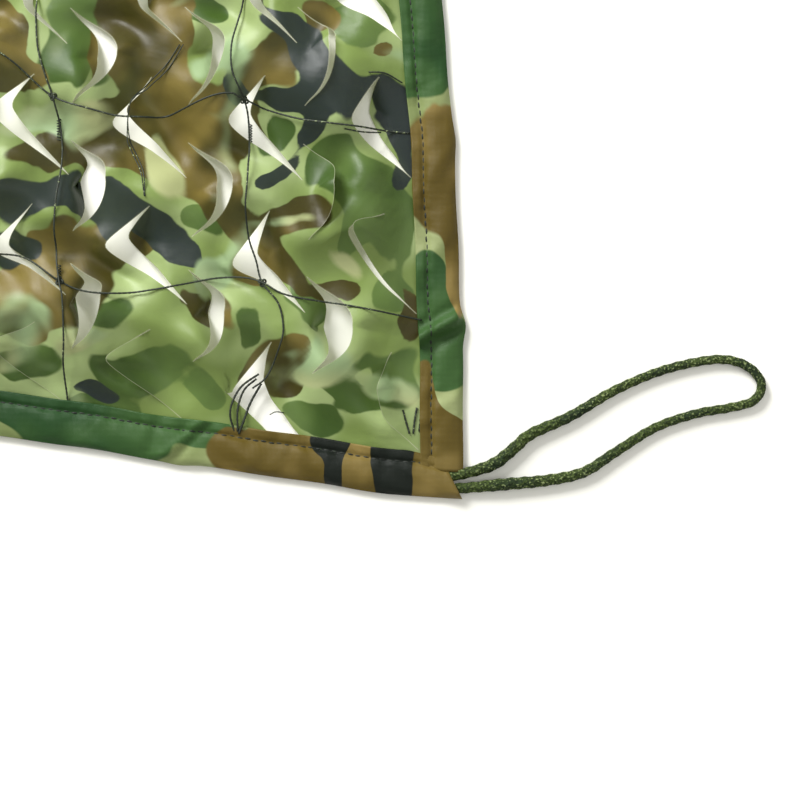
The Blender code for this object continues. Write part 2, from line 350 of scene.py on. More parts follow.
class Bench:
    """A material being made: its node tree, its shader and what its sockets are fed."""

    def __init__(self, name: str) -> None:
        """Start a material that has a Principled shader.

        Args:
            name: the material's name.
        """
        self.material = bpy.data.materials.new(name)
        self.material.use_nodes = True
        self.tree = self.material.node_tree
        self.shader = self.tree.nodes["Principled BSDF"]
        self.output = self.tree.nodes["Material Output"]

    def node(self, kind: str, settings: dict, sockets: dict, output: object = 0) -> Value:
        """Add a node.

        Args:
            kind: the node's type.
            settings: its own settings, set first.
            sockets: values or links for its inputs, by name or number.
            output: the output wanted, by name or number.

        Returns:
            The output as a Value.
        """
        made = self.tree.nodes.new(kind)
        for name, setting in settings.items():
            setattr(made, name, setting)
        for name, value in sockets.items():
            self.feed(made.inputs[name], value)
        return Value(self, made.outputs[output])

    def feed(self, socket: bpy.types.NodeSocket, value: object) -> None:
        """Link a value to a socket, or set the socket to it.

        Args:
            socket: the input.
            value: a Value to link, or a number or colour.
        """
        if isinstance(value, Value):
            self.tree.links.new(value.socket, socket)
        elif isinstance(value, tuple) and len(value) == 3 and socket.type == "RGBA":
            socket.default_value = (*value, 1.0)
        else:
            socket.default_value = value

    def set(self, **values: object) -> None:
        """Feed the Principled shader's sockets, named with _ for each space."""
        for name, value in values.items():
            self.feed(self.shader.inputs[name.replace("_", " ")], value)

    def mix(self, share: object, first: object, second: object) -> Value:
        """Mix two colours."""
        return self.node("ShaderNodeMix", {"data_type": "RGBA"}, {0: share, 6: first, 7: second}, 2)

    def scaled(self, colour: Value, by: Value) -> Value:
        """A colour made lighter or darker."""
        return self.node("ShaderNodeVectorMath", {"operation": "SCALE"}, {0: colour, "Scale": by})

    def places(self) -> Value:
        """The object's own coordinates, in metres."""
        return self.node("ShaderNodeTexCoord", {}, {}, "Object")

    def attribute(self, name: str) -> Value:
        """A number kept on the mesh."""
        return self.node("ShaderNodeAttribute", {"attribute_name": name}, {}, "Fac")

    def noise(self, places: Value, scale: float, detail: float = 3.0, warp: float = 0.0) -> Value:
        """Soft noise from 0 to 1."""
        sockets = {"Vector": places, "Scale": scale, "Detail": detail, "Distortion": warp}
        return self.node("ShaderNodeTexNoise", {}, sockets)

    def bump(self, height: Value, depth: float) -> None:
        """Bump the shader's surface."""
        sockets = {"Height": height, "Distance": depth, "Strength": 1.0}
        self.feed(self.shader.inputs["Normal"], self.node("ShaderNodeBump", {}, sockets))

    def let_light_through(self, colour: Value, share: float) -> None:
        """Mix in a translucent share, so that light from behind tints the cloth.

        Args:
            colour: the colour that comes through.
            share: how much comes through.
        """
        through = self.node("ShaderNodeBsdfTranslucent", {}, {"Color": colour})
        solid = Value(self, self.shader.outputs[0])
        mixed = self.node("ShaderNodeMixShader", {}, {0: share, 1: solid, 2: through})
        self.tree.links.new(mixed.socket, self.output.inputs["Surface"])


# ---------------------------------------------------------------- the print


class Ink(Enum):
    """An ink of the woodland print, over its pale green ground. The pale ink is not print: its soft patches
    are painted highlights where leaves catch the light.
    """

    GREEN = "green"
    BROWN = "brown"
    BLACK = "black"
    # Painted highlight: pale patches where the leaves catch the light.
    PALE = "pale"


@dataclass(frozen=True)
class Patch:
    """A patch of ink: where its middle is, its half sizes and how it is turned, in degrees."""

    ink: Ink
    x: float
    y: float
    long: float
    short: float
    turn: float = 0.0


@dataclass(frozen=True)
class PrintInks:
    """Colours of the print, and of painted light: two highlight colours for the pale patches, and a cream for
    the painted highlight along cut edges, which is also the cloth's paler underside.
    """

    ground: tuple = (0.195, 0.272, 0.072)
    pale: tuple = (0.355, 0.450, 0.190)
    green: tuple = (0.102, 0.168, 0.040)
    deep: tuple = (0.045, 0.092, 0.014)
    brown: tuple = (0.045, 0.034, 0.003)
    tan: tuple = (0.190, 0.140, 0.032)
    black: tuple = (0.015, 0.023, 0.025)
    # The next two colour the pale patches, which are painted highlights.
    highlight_sage: tuple = (0.320, 0.440, 0.230)
    highlight_glow: tuple = (0.430, 0.460, 0.220)
    # Cream: the cloth's paler underside, and the painted highlight along cut edges.
    cream: tuple = (0.560, 0.560, 0.400)


INKS = PrintInks()
HEM_INKS = PrintInks(
    ground=(0.170, 0.215, 0.075),
    pale=(0.260, 0.300, 0.130),
    green=(0.034, 0.084, 0.020),
    deep=(0.016, 0.054, 0.013),
    brown=(0.094, 0.066, 0.010),
    tan=(0.205, 0.148, 0.042),
    black=(0.005, 0.008, 0.005),
)

CLOTH_PATCHES = (
    Patch(Ink.GREEN, 140, -97, 12.6, 9.2),
    Patch(Ink.GREEN, 140, -114, 14.0, 13.0, -20),
    Patch(Ink.GREEN, 190, -98, 10.9, 5.0),
    Patch(Ink.GREEN, 221, -150, 8.4, 8.4),
    Patch(Ink.GREEN, 247, -160, 9.2, 14.3, -10),
    Patch(Ink.GREEN, 262, -166, 10.9, 9.2),
    Patch(Ink.GREEN, 272, -187, 10.1, 15.1, -5),
    Patch(Ink.GREEN, 254, -190, 5.0, 10.1),
    Patch(Ink.GREEN, 148, -222, 15.1, 8.4, -10),
    Patch(Ink.GREEN, 169, -247, 17.6, 9.2, 15),
    Patch(Ink.GREEN, 114, -243, 17.6, 7.6),
    Patch(Ink.GREEN, 236, -267, 11.8, 5.5, -10),
    Patch(Ink.GREEN, 271, -251, 10.9, 13.4),
    Patch(Ink.GREEN, 238, -221, 8.4, 10.9),
    Patch(Ink.GREEN, 268, -217, 8.4, 5.9),
    Patch(Ink.GREEN, 188, -184, 8.4, 5.0),
    Patch(Ink.GREEN, 259, -99, 12.6, 9.2),
    Patch(Ink.GREEN, 211, -227, 5.9, 8.4, -20),
    Patch(Ink.GREEN, 251, -255, 7.6, 5.0, -30),
    Patch(Ink.GREEN, 150, -264, 12.6, 4.2, -5),
    Patch(Ink.GREEN, 196, -257, 8.4, 5.9, -10),
    Patch(Ink.BROWN, 115, -124, 13.4, 6.7, -15),
    Patch(Ink.BROWN, 109, -106, 8.0, 14.0),
    Patch(Ink.BROWN, 172, -112, 14.0, 15.0, 20),
    Patch(Ink.BROWN, 165, -138, 16.0, 8.0, 15),
    Patch(Ink.BROWN, 158, -150, 12.0, 8.0, -20),
    Patch(Ink.BROWN, 184, -150, 12.0, 13.0),
    Patch(Ink.BROWN, 163, -95, 16.8, 5.9),
    Patch(Ink.BROWN, 170, -117, 10.9, 10.1, 30),
    Patch(Ink.BROWN, 219, -120, 12.6, 10.1, -20),
    Patch(Ink.BROWN, 198, -145, 14.0, 14.5, 10),
    Patch(Ink.BROWN, 188, -163, 9.0, 9.0),
    Patch(Ink.BROWN, 131, -156, 26.0, 6.3, -3),
    Patch(Ink.BROWN, 135, -196, 23.5, 11.8),
    Patch(Ink.BROWN, 121, -224, 18.5, 8.4, -5),
    Patch(Ink.BROWN, 127, -211, 16.8, 6.7),
    Patch(Ink.BROWN, 202, -175, 8.4, 13.4, 15),
    Patch(Ink.BROWN, 228, -184, 14.3, 6.7, 10),
    Patch(Ink.BROWN, 192, -220, 11.8, 8.4),
    Patch(Ink.BROWN, 226, -208, 19.3, 6.3, -20),
    Patch(Ink.BROWN, 216, -201, 5.0, 6.0),
    Patch(Ink.BROWN, 221, -243, 10.1, 10.9),
    Patch(Ink.BROWN, 231, -250, 6.3, 9.2),
    Patch(Ink.BROWN, 277, -224, 4.6, 10.9),
    Patch(Ink.BROWN, 240, -101, 8.4, 5.9, -20),
    Patch(Ink.BROWN, 269, -113, 5.9, 4.2),
    Patch(Ink.BROWN, 251, -211, 5.9, 3.4),
    Patch(Ink.BROWN, 165, -194, 7.6, 5.0),
    Patch(Ink.BLACK, 223, -104, 12.6, 4.6, -40),
    Patch(Ink.BLACK, 240, -119, 13.4, 8.4, -35),
    Patch(Ink.BLACK, 226, -135, 14.3, 4.6, 8),
    Patch(Ink.BLACK, 208, -129, 5.0, 5.9, 30),
    Patch(Ink.BLACK, 235, -148, 5.0, 10.9, -15),
    Patch(Ink.BLACK, 224, -166, 6.7, 3.8, 20),
    Patch(Ink.BLACK, 265, -133, 10.9, 10.1, -20),
    Patch(Ink.BLACK, 275, -150, 5.0, 6.7),
    Patch(Ink.BLACK, 275, -166, 7.6, 5.0, 20),
    Patch(Ink.BLACK, 125, -173, 24.4, 8.0, -2),
    Patch(Ink.BLACK, 156, -180, 14.3, 8.0, -30),
    Patch(Ink.BLACK, 173, -191, 12.6, 5.5, -40),
    Patch(Ink.BLACK, 188, -199, 5.9, 3.4, -20),
    Patch(Ink.BLACK, 113, -196, 11.8, 6.3, -20),
    Patch(Ink.BLACK, 148, -256, 5.9, 2.5, -5),
    # Painted highlights, not print: pale patches on the leaves that catch the light.
    Patch(Ink.PALE, 118, -144, 11.0, 5.0, -4),
    Patch(Ink.PALE, 137, -142, 9.0, 5.0, 24),
    Patch(Ink.PALE, 173, -156, 5.0, 9.0, 10),
    Patch(Ink.PALE, 178, -166, 5.0, 9.0, 22),
    Patch(Ink.PALE, 228, -186, 9.0, 4.0, -12),
    Patch(Ink.PALE, 245, -243, 5.5, 7.0, -10),
    Patch(Ink.PALE, 241, -251, 6.0, 4.5, 10),
    Patch(Ink.PALE, 254, -202, 5.0, 9.0, 35),
    Patch(Ink.PALE, 199, -118, 10.0, 6.0, 35),
    Patch(Ink.PALE, 197, -204, 7.0, 8.0, -15),
    Patch(Ink.PALE, 141, -236, 9.0, 4.0, 25),
    Patch(Ink.PALE, 266, -254, 8.0, 4.5, -30),
)
BINDING_PATCHES = (
    Patch(Ink.GREEN, 146, -275, 31.0, 14.0, -8),
    Patch(Ink.GREEN, 128, -261, 40.0, 6.0, -8),
    Patch(Ink.GREEN, 194, -271, 8.0, 5.0, -5),
    Patch(Ink.BROWN, 229, -282, 34.0, 12.6, -8),
    Patch(Ink.BROWN, 272, -290, 37.8, 10.9, -4),
    Patch(Ink.BLACK, 245, -276, 8.6, 5.6),
    Patch(Ink.BLACK, 247, -290, 3.4, 9.5),
    Patch(Ink.BLACK, 271, -288, 8.6, 21.0),
    Patch(Ink.GREEN, 284, -108, 16.0, 27.7),
    Patch(Ink.BROWN, 288, -162, 16.0, 29.4, -3),
    Patch(Ink.GREEN, 287, -215, 8.4, 20.2, 5),
    Patch(Ink.GREEN, 293, -240, 14.3, 14.3, 40),
    Patch(Ink.BROWN, 284, -263, 6.3, 20.2),
    Patch(Ink.BROWN, 296, -271, 5.9, 5.9),
    Patch(Ink.BROWN, 299, -196, 4.2, 25.2),
)


class PrintAndHighlightFields:
    """The print as soft fields, one for each ink, which a finish sharpens to crisp edges. The pale field
    holds painted highlights, not print.

    Right of and below the place by_hand, only the listed patches are used.
    """

    by_hand: tuple = (100, -86)

    def __init__(self, placed: tuple, seed: int, crowd: dict, drift: float = 1.0) -> None:
        """Keep the placed patches and scatter more over the rest of the net.

        Args:
            placed: the listed patches.
            seed: seed for the scattered ones.
            crowd: how many scattered patches each ink has.
            drift: how far the patches are bent out of shape.
        """
        self.drift = drift
        self.patches = list(placed)
        rng = np.random.default_rng(seed)
        for ink, count in crowd.items():
            for _ in range(count):
                x, y = rng.uniform(-PLAN.half, PLAN.half, 2)
                long, short, turn = rng.uniform(13, 30), rng.uniform(6, 13), rng.normal(0, 24)
                self._scatter(Patch(ink, x, y, long, short, turn))

    def _scatter(self, patch: Patch) -> None:
        """Add a scattered patch, unless it would cover the listed ones.

        Args:
            patch: the patch.
        """
        left, top = self.by_hand
        if patch.x > left - patch.long and patch.y < top + patch.long:
            return
        self.patches.append(patch)

    def write(self, mesh: bpy.types.Mesh, x: np.ndarray, y: np.ndarray) -> None:
        """Keep each ink's field on a mesh.

        Args:
            mesh: the mesh.
            x, y: its vertices' places on the laid print, in millimetres.
        """
        drift_x = 2.4 * np.sin(y / 6.9 + 1.4 * np.sin(x / 15.0)) + 0.9 * np.sin(y / 3.1 + x / 9.0)
        drift_y = 2.2 * np.sin(x / 7.7 + 1.3 * np.sin(y / 12.0)) + 0.8 * np.sin(x / 3.4 - y / 8.0)
        x, y = x + self.drift * drift_x, y + self.drift * drift_y
        for ink in Ink:
            held = np.full(len(x), -0.5)
            for patch in self.patches:
                if patch.ink is not ink:
                    continue
                turn = math.radians(patch.turn)
                along = (x - patch.x) * math.cos(turn) + (y - patch.y) * math.sin(turn)
                across = (y - patch.y) * math.cos(turn) - (x - patch.x) * math.sin(turn)
                held += 2.0 ** -((along / patch.long) ** 2 + (across / patch.short) ** 2)
            attribute = mesh.attributes.new("ink_" + ink.value, "FLOAT", "POINT")
            attribute.data.foreach_set("value", held.astype(np.float32))


def print_and_highlight_colour(bench: Bench, places: Value, edge_wander: float, soft: float, shades: PrintInks) -> Value:
    """The woodland print's colour, with the pale patches' painted highlights laid over it.

    Args:
        bench: the material being made.
        places: coordinates in metres on the flat print.
        edge_wander: how far the patches' edges wander from their soft outlines.
        soft: how soft their edges are.
        shades: the inks' colours.

    Returns:
        The colour.
    """
    # An ink has its two colours, how fine they are, how soft its edge is and where the second one starts.
    tone_blend = 0.22
    colour = bench.mix(bench.noise(places, 26.0, 1.0).between(0.42, 0.62), shades.ground, shades.pale)
    inks = (
        (Ink.GREEN, shades.green, shades.deep, 31.0, 1.0, 0.40),
        (Ink.BROWN, shades.brown, shades.tan, 37.0, 1.0, 0.45),
        (Ink.BLACK, shades.black, shades.black, 34.0, 1.0, 0.40),
        # Painted highlight: the pale patches, blurred four times as soft so that they read as lit leaves.
        (Ink.PALE, shades.highlight_sage, shades.highlight_glow, 27.0, 4.0, 0.40),
    )
    for ink, near, far, scale, blur, turns in inks:
        wander = (bench.noise(places, scale, 2.0, 0.6) - 0.5) * (edge_wander * math.sqrt(blur))
        inked = (bench.attribute("ink_" + ink.value) + wander).between(-soft * blur, soft * blur)
        second = bench.noise(places, scale * 0.8, 2.0).between(turns, turns + tone_blend)
        colour = bench.mix(inked, colour, bench.mix(second, near, far))
    return colour


# ---------------------------------------------------------------- finishes


@dataclass(frozen=True)
class ClothFinish:
    """A thin printed cloth with a soft coated sheen, and painted highlights: pale patches and a pale line
    along its cut edges.
    """

    name: str
    through: float = 0.30
    rough: float = 0.34
    edge_wander: float = 1.3
    bump_depth: float = 0.00022
    weave: float = 0.15
    gloss: float = 0.34
    soft: float = 0.045
    threads: float = 620.0
    shades: PrintInks = INKS

    def make(self) -> bpy.types.Material:
        """Make the material.

        Returns:
            The material.
        """
        bench = Bench(self.name)
        places = bench.places()
        colour = print_and_highlight_colour(bench, places, self.edge_wander, self.soft, self.shades)
        # Painted highlight: a thin pale cream line along the cut edges, where they catch the light.
        colour = bench.mix(bench.attribute("rim").between(0.84, 0.95) * 0.5, colour, INKS.cream)
        colour = bench.scaled(colour, (bench.noise(places, 14.0, 4.0) - 0.5) * 0.5 + 1.0)
        behind = bench.node("ShaderNodeNewGeometry", {}, {}, "Backfacing")
        colour = bench.mix(behind * 0.6, colour, INKS.cream)
        bench.set(
            Base_Color=colour,
            Roughness=bench.noise(places, 60.0, 4.0) * 0.12 + self.rough,
            Specular_IOR_Level=self.gloss,
        )
        sockets = {"Vector": places, "Scale": self.threads}
        weave = bench.node("ShaderNodeTexWave", {"bands_direction": "X"}, sockets)
        weft = bench.node("ShaderNodeTexWave", {"bands_direction": "Y"}, sockets)
        creases = bench.noise(places, 28.0, 3.0, 0.5) * 9.0
        bench.bump(weave * weft * self.weave + creases, self.bump_depth)
        lit = bench.mix(0.3, colour, INKS.pale)
        bench.let_light_through(lit, self.through)
        return bench.material


@dataclass(frozen=True)
class CordFinish:
    """A dark twisted cord with pale flecks where it has worn."""

    name: str
    dark: tuple
    pale: tuple
    flecks: float

    def make(self) -> bpy.types.Material:
        """Make the material.

        Returns:
            The material.
        """
        bench = Bench(self.name)
        places = bench.places()
        worn = bench.noise(places, 900.0, 3.0).between(0.62 - self.flecks, 0.70 - self.flecks)
        patchy = bench.noise(places, 22.0, 2.0).between(0.44, 0.60)
        bench.set(Base_Color=bench.mix(worn * patchy, self.dark, self.pale), Roughness=0.62)
        bench.bump(bench.noise(places, 2600.0, 2.0), 0.00012)
        return bench.material


@dataclass(frozen=True)
class RopeFinish:
    """Braided cord: dark and olive strands, with a paler one and worn fibres, and painted shade down in the
    grooves between strands.
    """

    name: str = "braided_rope"
    dark: tuple = (0.010, 0.024, 0.005)
    olive: tuple = (0.036, 0.058, 0.008)
    pale: tuple = (0.240, 0.290, 0.120)

    def make(self) -> bpy.types.Material:
        """Make the material.

        Returns:
            The material.
        """
        bench = Bench(self.name)
        places = bench.places()
        strand = bench.attribute("strand")
        groove = bench.attribute("groove")
        tone = bench.noise(places, 90.0, 2.0) * 0.5 + strand * 0.5
        colour = bench.mix(tone.between(0.25, 0.65), self.dark, self.olive)
        speckle = bench.noise(places, 1150.0, 1.0)
        colour = bench.mix(speckle.between(0.50, 0.40) * 0.75, colour, (0.004, 0.009, 0.002))
        worn = bench.noise(places, 34.0, 1.0).between(0.35, 0.65) * 0.5 + 0.35
        fleck = groove.between(0.55, 0.9) * speckle.between(0.56, 0.64) * worn
        colour = bench.mix(fleck, colour, self.pale)
        fibres = bench.noise(places, 2600.0, 2.0)
        # Painted shade: darker down in the grooves between strands.
        colour = bench.mix(groove.between(0.0, 0.5), (0.003, 0.007, 0.002), colour)
        bench.set(Base_Color=colour, Roughness=0.75, Specular_IOR_Level=0.25)
        bench.bump(fibres + speckle, 0.0003)
        return bench.material


@dataclass(frozen=True)
class FloorFinish:
    """A plain pale surface."""

    name: str = "pale_floor"
    colour: tuple = (0.93, 0.925, 0.86)

    def make(self) -> bpy.types.Material:
        """Make the material.

        Returns:
            The material.
        """
        bench = Bench(self.name)
        bench.set(Base_Color=self.colour, Roughness=0.9, Specular_IOR_Level=0.1)
        return bench.material


# ---------------------------------------------------------------- corner loops


@dataclass(frozen=True)
class Corner:
    """A corner of the net, and how its loop lies."""

    name: str
    right: int
    up: int
    spread: float
    swing: float


CORNERS = (
    Corner("bottom_right", 1, -1, 1.0, 0.0),
    Corner("top_right", 1, 1, 0.8, -0.2),
    Corner("top_left", -1, 1, 1.12, 0.06),
    Corner("bottom_left", -1, -1, 0.9, -0.1),
)


@dataclass(frozen=True)
class CornerLoop:
    """A braided rope loop whose ends are held in a binding's tip.

    The route is given as distances out past the net's corner and in from its long edge.
    """

    corner: Corner
    finish: bpy.types.Material
    rope: float = 4.6
    spacing: float = 0.42
    sides: int = 26
    strands: int = 5
    braid_pitch: float = 11.0
    relief: float = 0.26
    highest: float = 1.2
    crossing_rise: float = 0.28
    shade_beat: float = 12.9898
    shade_start: float = 4.1
    clear: float = 0.05
    fullness_at: tuple = (0.0, 10.0, 22.0, 90.0)
    fullness: tuple = (0.96, 0.98, 1.14, 0.84)
    route: tuple = (
        (-8.0, 9.0), (-2.6, 9.6), (5.5, 11.6), (14, 14.8), (22, 21.2), (29, 27), (45.4, 34.4), (63.4, 44.9),
        (82, 52.9), (99, 57.2), (111, 58), (120.5, 54.6), (125.4, 47.6), (122, 40.8), (111.5, 37.8),
        (98, 35.4), (81, 29.6), (64, 19.2), (51, 11), (36, 7.6), (18, 5.9), (1, 4.3), (-6.0, 4.0),
    )

    def centres(self) -> np.ndarray:
        """Points along the middle of the rope.

        Returns:
            The points in millimetres, one to a row, from one end to the other.
        """
        middle_start, middle_slope, straight = 6.9, 0.36, 12.0
        stops = []
        for out, inward in self.route:
            middle = middle_start + middle_slope * out
            turned = middle + self.corner.spread * (inward - middle)
            turned += self.corner.swing * max(0.0, out - straight)
            across = self.corner.right * (PLAN.half + out)
            stops.append((across, self.corner.up * (PLAN.half - turned), 0.0))
        centres = smooth_curve(np.array(stops), self.spacing)
        centres[:, 2] = self._girth(len(centres)) * (1.0 + self.relief * (self.highest - 1.0)) + self.clear
        return centres

    def _girth(self, count: int) -> np.ndarray:
        """The rope's radius at each of its points, fuller near its ends.

        Args:
            count: how many points there are.

        Returns:
            The radii, in order.
        """
        along = np.arange(count) * self.spacing
        from_end = np.minimum(along, along[::-1])
        return 0.5 * self.rope * np.interp(from_end, self.fullness_at, self.fullness)

    def build(self) -> bpy.types.Object:
        """Returns:
            The rope.
        """
        centres = self.centres()
        along = np.arange(len(centres))[:, None] * self.spacing
        turn = np.linspace(0.0, 2 * np.pi, self.sides + 1)[None, :-1]
        climb = 2 * np.pi * along / self.braid_pitch
        first, second = self.strands * turn + 2 * climb, self.strands * turn - 2 * climb
        over = np.cos(0.5 * (first + second)) * np.cos(0.5 * (first - second))
        proud = self.crossing_rise * np.sign(over) * np.abs(over) ** 0.5
        one = 0.5 + 0.5 * np.cos(first) + proud
        two = 0.5 + 0.5 * np.cos(second) - proud
        height = np.clip(np.maximum(one, two), 0.0, self.highest)
        radii = self._girth(len(centres))[:, None] * (1.0 - self.relief + self.relief * height)
        points = tube_points(centres, radii, self.sides)
        which = np.where(one > two, np.floor(first / (2 * np.pi)), np.floor(second / (2 * np.pi)) + 0.5)
        shade = np.abs(np.sin(which * self.shade_beat + self.shade_start)) % 1.0
        mesh = mesh_from(grid_mesh(points, round_joint=True, lids=True), "rope_loop")
        self._keep(mesh, points, {"strand": shade, "groove": height})
        obj = add_object("rope_" + self.corner.name, mesh, self.finish)
        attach(obj, "root")
        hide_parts("loop_" + self.corner.name)
        path = [tuple(point) for point in centres[::6] * MM] + [tuple(centres[-1] * MM)]
        exit_point = tuple(float(value) for value in centres[0] * MM)
        return obj

    @staticmethod
    def _keep(mesh: bpy.types.Mesh, points: np.ndarray, fields: dict) -> None:
        """Write fields given ring by ring to the vertices that stand at the given points.

        Args:
            mesh: the rope's mesh.
            points: the skin's points, ring by ring.
            fields: numbers for each point, by the attribute's name.
        """
        per_metre = 1e6
        kept = np.empty(len(mesh.vertices) * 3)
        mesh.vertices.foreach_get("co", kept)
        kept = np.round(kept.reshape(-1, 3) * per_metre).astype(int)
        lookup = {tuple(place): index for index, place in enumerate(kept)}
        wanted = np.float32(points[:, :-1] * MM).astype(float) * per_metre
        wanted = np.round(wanted).astype(int).reshape(-1, 3)
        order = np.array([lookup.get(tuple(place), 0) for place in wanted])
        for name, values in fields.items():
            held = np.zeros(len(mesh.vertices), dtype=np.float32)
            held[order] = values.reshape(-1)
            mesh.attributes.new(name, "FLOAT", "POINT").data.foreach_set("value", held)


# ---------------------------------------------------------------- garnish cloth


@dataclass(frozen=True)
class Leaf:
    """How the two cuts of one repeat stand open.

    A right cut is a > and a left one a <. open is how far its tongue is drawn back, lift how far the
    tongue's tip rises, lip how far the cloth across the cut rises, and push how far that moves away.
    stray_x and stray_y are how far the cut's tip is from its even place.
    """

    open: float
    lift: float
    lip: float
    push: float = 0.0
    stray_x: float = 0.0
    stray_y: float = 0.0

    def numbers(self) -> tuple:
        """The six sizes in order."""
        return self.open, self.lift, self.lip, self.push, self.stray_x, self.stray_y


RIGHT_LEAVES = {
    (-2, 1): Leaf(6.4, -3.5, 3.0, 1.0, 0.8, 7.0),
    (-1, 1): Leaf(8.4, -3.5, 3.5, 1.5, 2.0, 1.0),
    (0, 1): Leaf(4.8, -3.0, 3.0, 1.5, -2.1, 5.0),
    (1, 1): Leaf(2.1, 3.0, -1.0, 0.6, -2.5, 7.5),
    (-2, 0): Leaf(4.0, -3.0, 3.0, 1.0),
    (-1, 0): Leaf(10.4, -4.6, 4.0, 2.0, -4.2, 4.0),
    (0, 0): Leaf(6.4, -3.5, 4.0, 1.5, 0.4, 2.6),
    (1, 0): Leaf(-1.6, 5.5, -2.5, 0.0, -6.5, 4.5),
    (-1, -1): Leaf(10.8, -4.4, 3.5, 1.5, -6.0, 6.5),
    (0, -1): Leaf(6.4, -4.0, 4.0, 1.5, -4.2, 3.4),
    (1, -1): Leaf(10.4, -4.4, 3.5, 2.0, -1.0, 1.6),
}
LEFT_LEAVES = {
    (-2, 2): Leaf(3.7, -3.0, 3.0, 0.5, 7.0, -4.0),
    (-1, 2): Leaf(3.5, -3.0, 3.5, 0.5, 7.0, -7.0),
    (0, 2): Leaf(5.1, -3.5, 3.0, 1.0, 5.0, -4.0),
    (1, 2): Leaf(10.0, 3.0, 1.0, 4.0, -3.0, -3.5),
    (-2, 1): Leaf(6.4, -3.8, 3.0, 1.0, -3.6, 0.0),
    (-1, 1): Leaf(6.8, 4.5, 0.0, 1.5, -3.2, -4.0),
    (0, 1): Leaf(8.0, -3.8, 3.0, 2.0, -2.5, -2.8),
    (1, 1): Leaf(7.2, -3.8, 2.0, 2.0, 0.5, -1.0),
    (-2, 0): Leaf(4.8, -3.0, 2.0, 1.0, -4.4, -6.0),
    (-1, 0): Leaf(8.0, -4.0, 3.0, 2.0, -6.0, -2.0),
    (0, 0): Leaf(8.8, -3.5, 3.0, 3.0, -1.7, -6.5),
    (1, 0): Leaf(2.2, 5.0, -1.5, 0.3, -4.5, 8.0),
    (-2, -1): Leaf(-0.6, 5.0, -2.5, 0.0, -4.0, 2.0),
    (-1, -1): Leaf(-0.6, 5.5, -2.5, 0.0, -6.0, 0.0),
    (0, -1): Leaf(6.0, 1.5, 0.0, 10.0, 3.0, -4.0),
    (1, -1): Leaf(-0.8, 5.5, -2.5, 0.0, 6.5, 0.0),
}


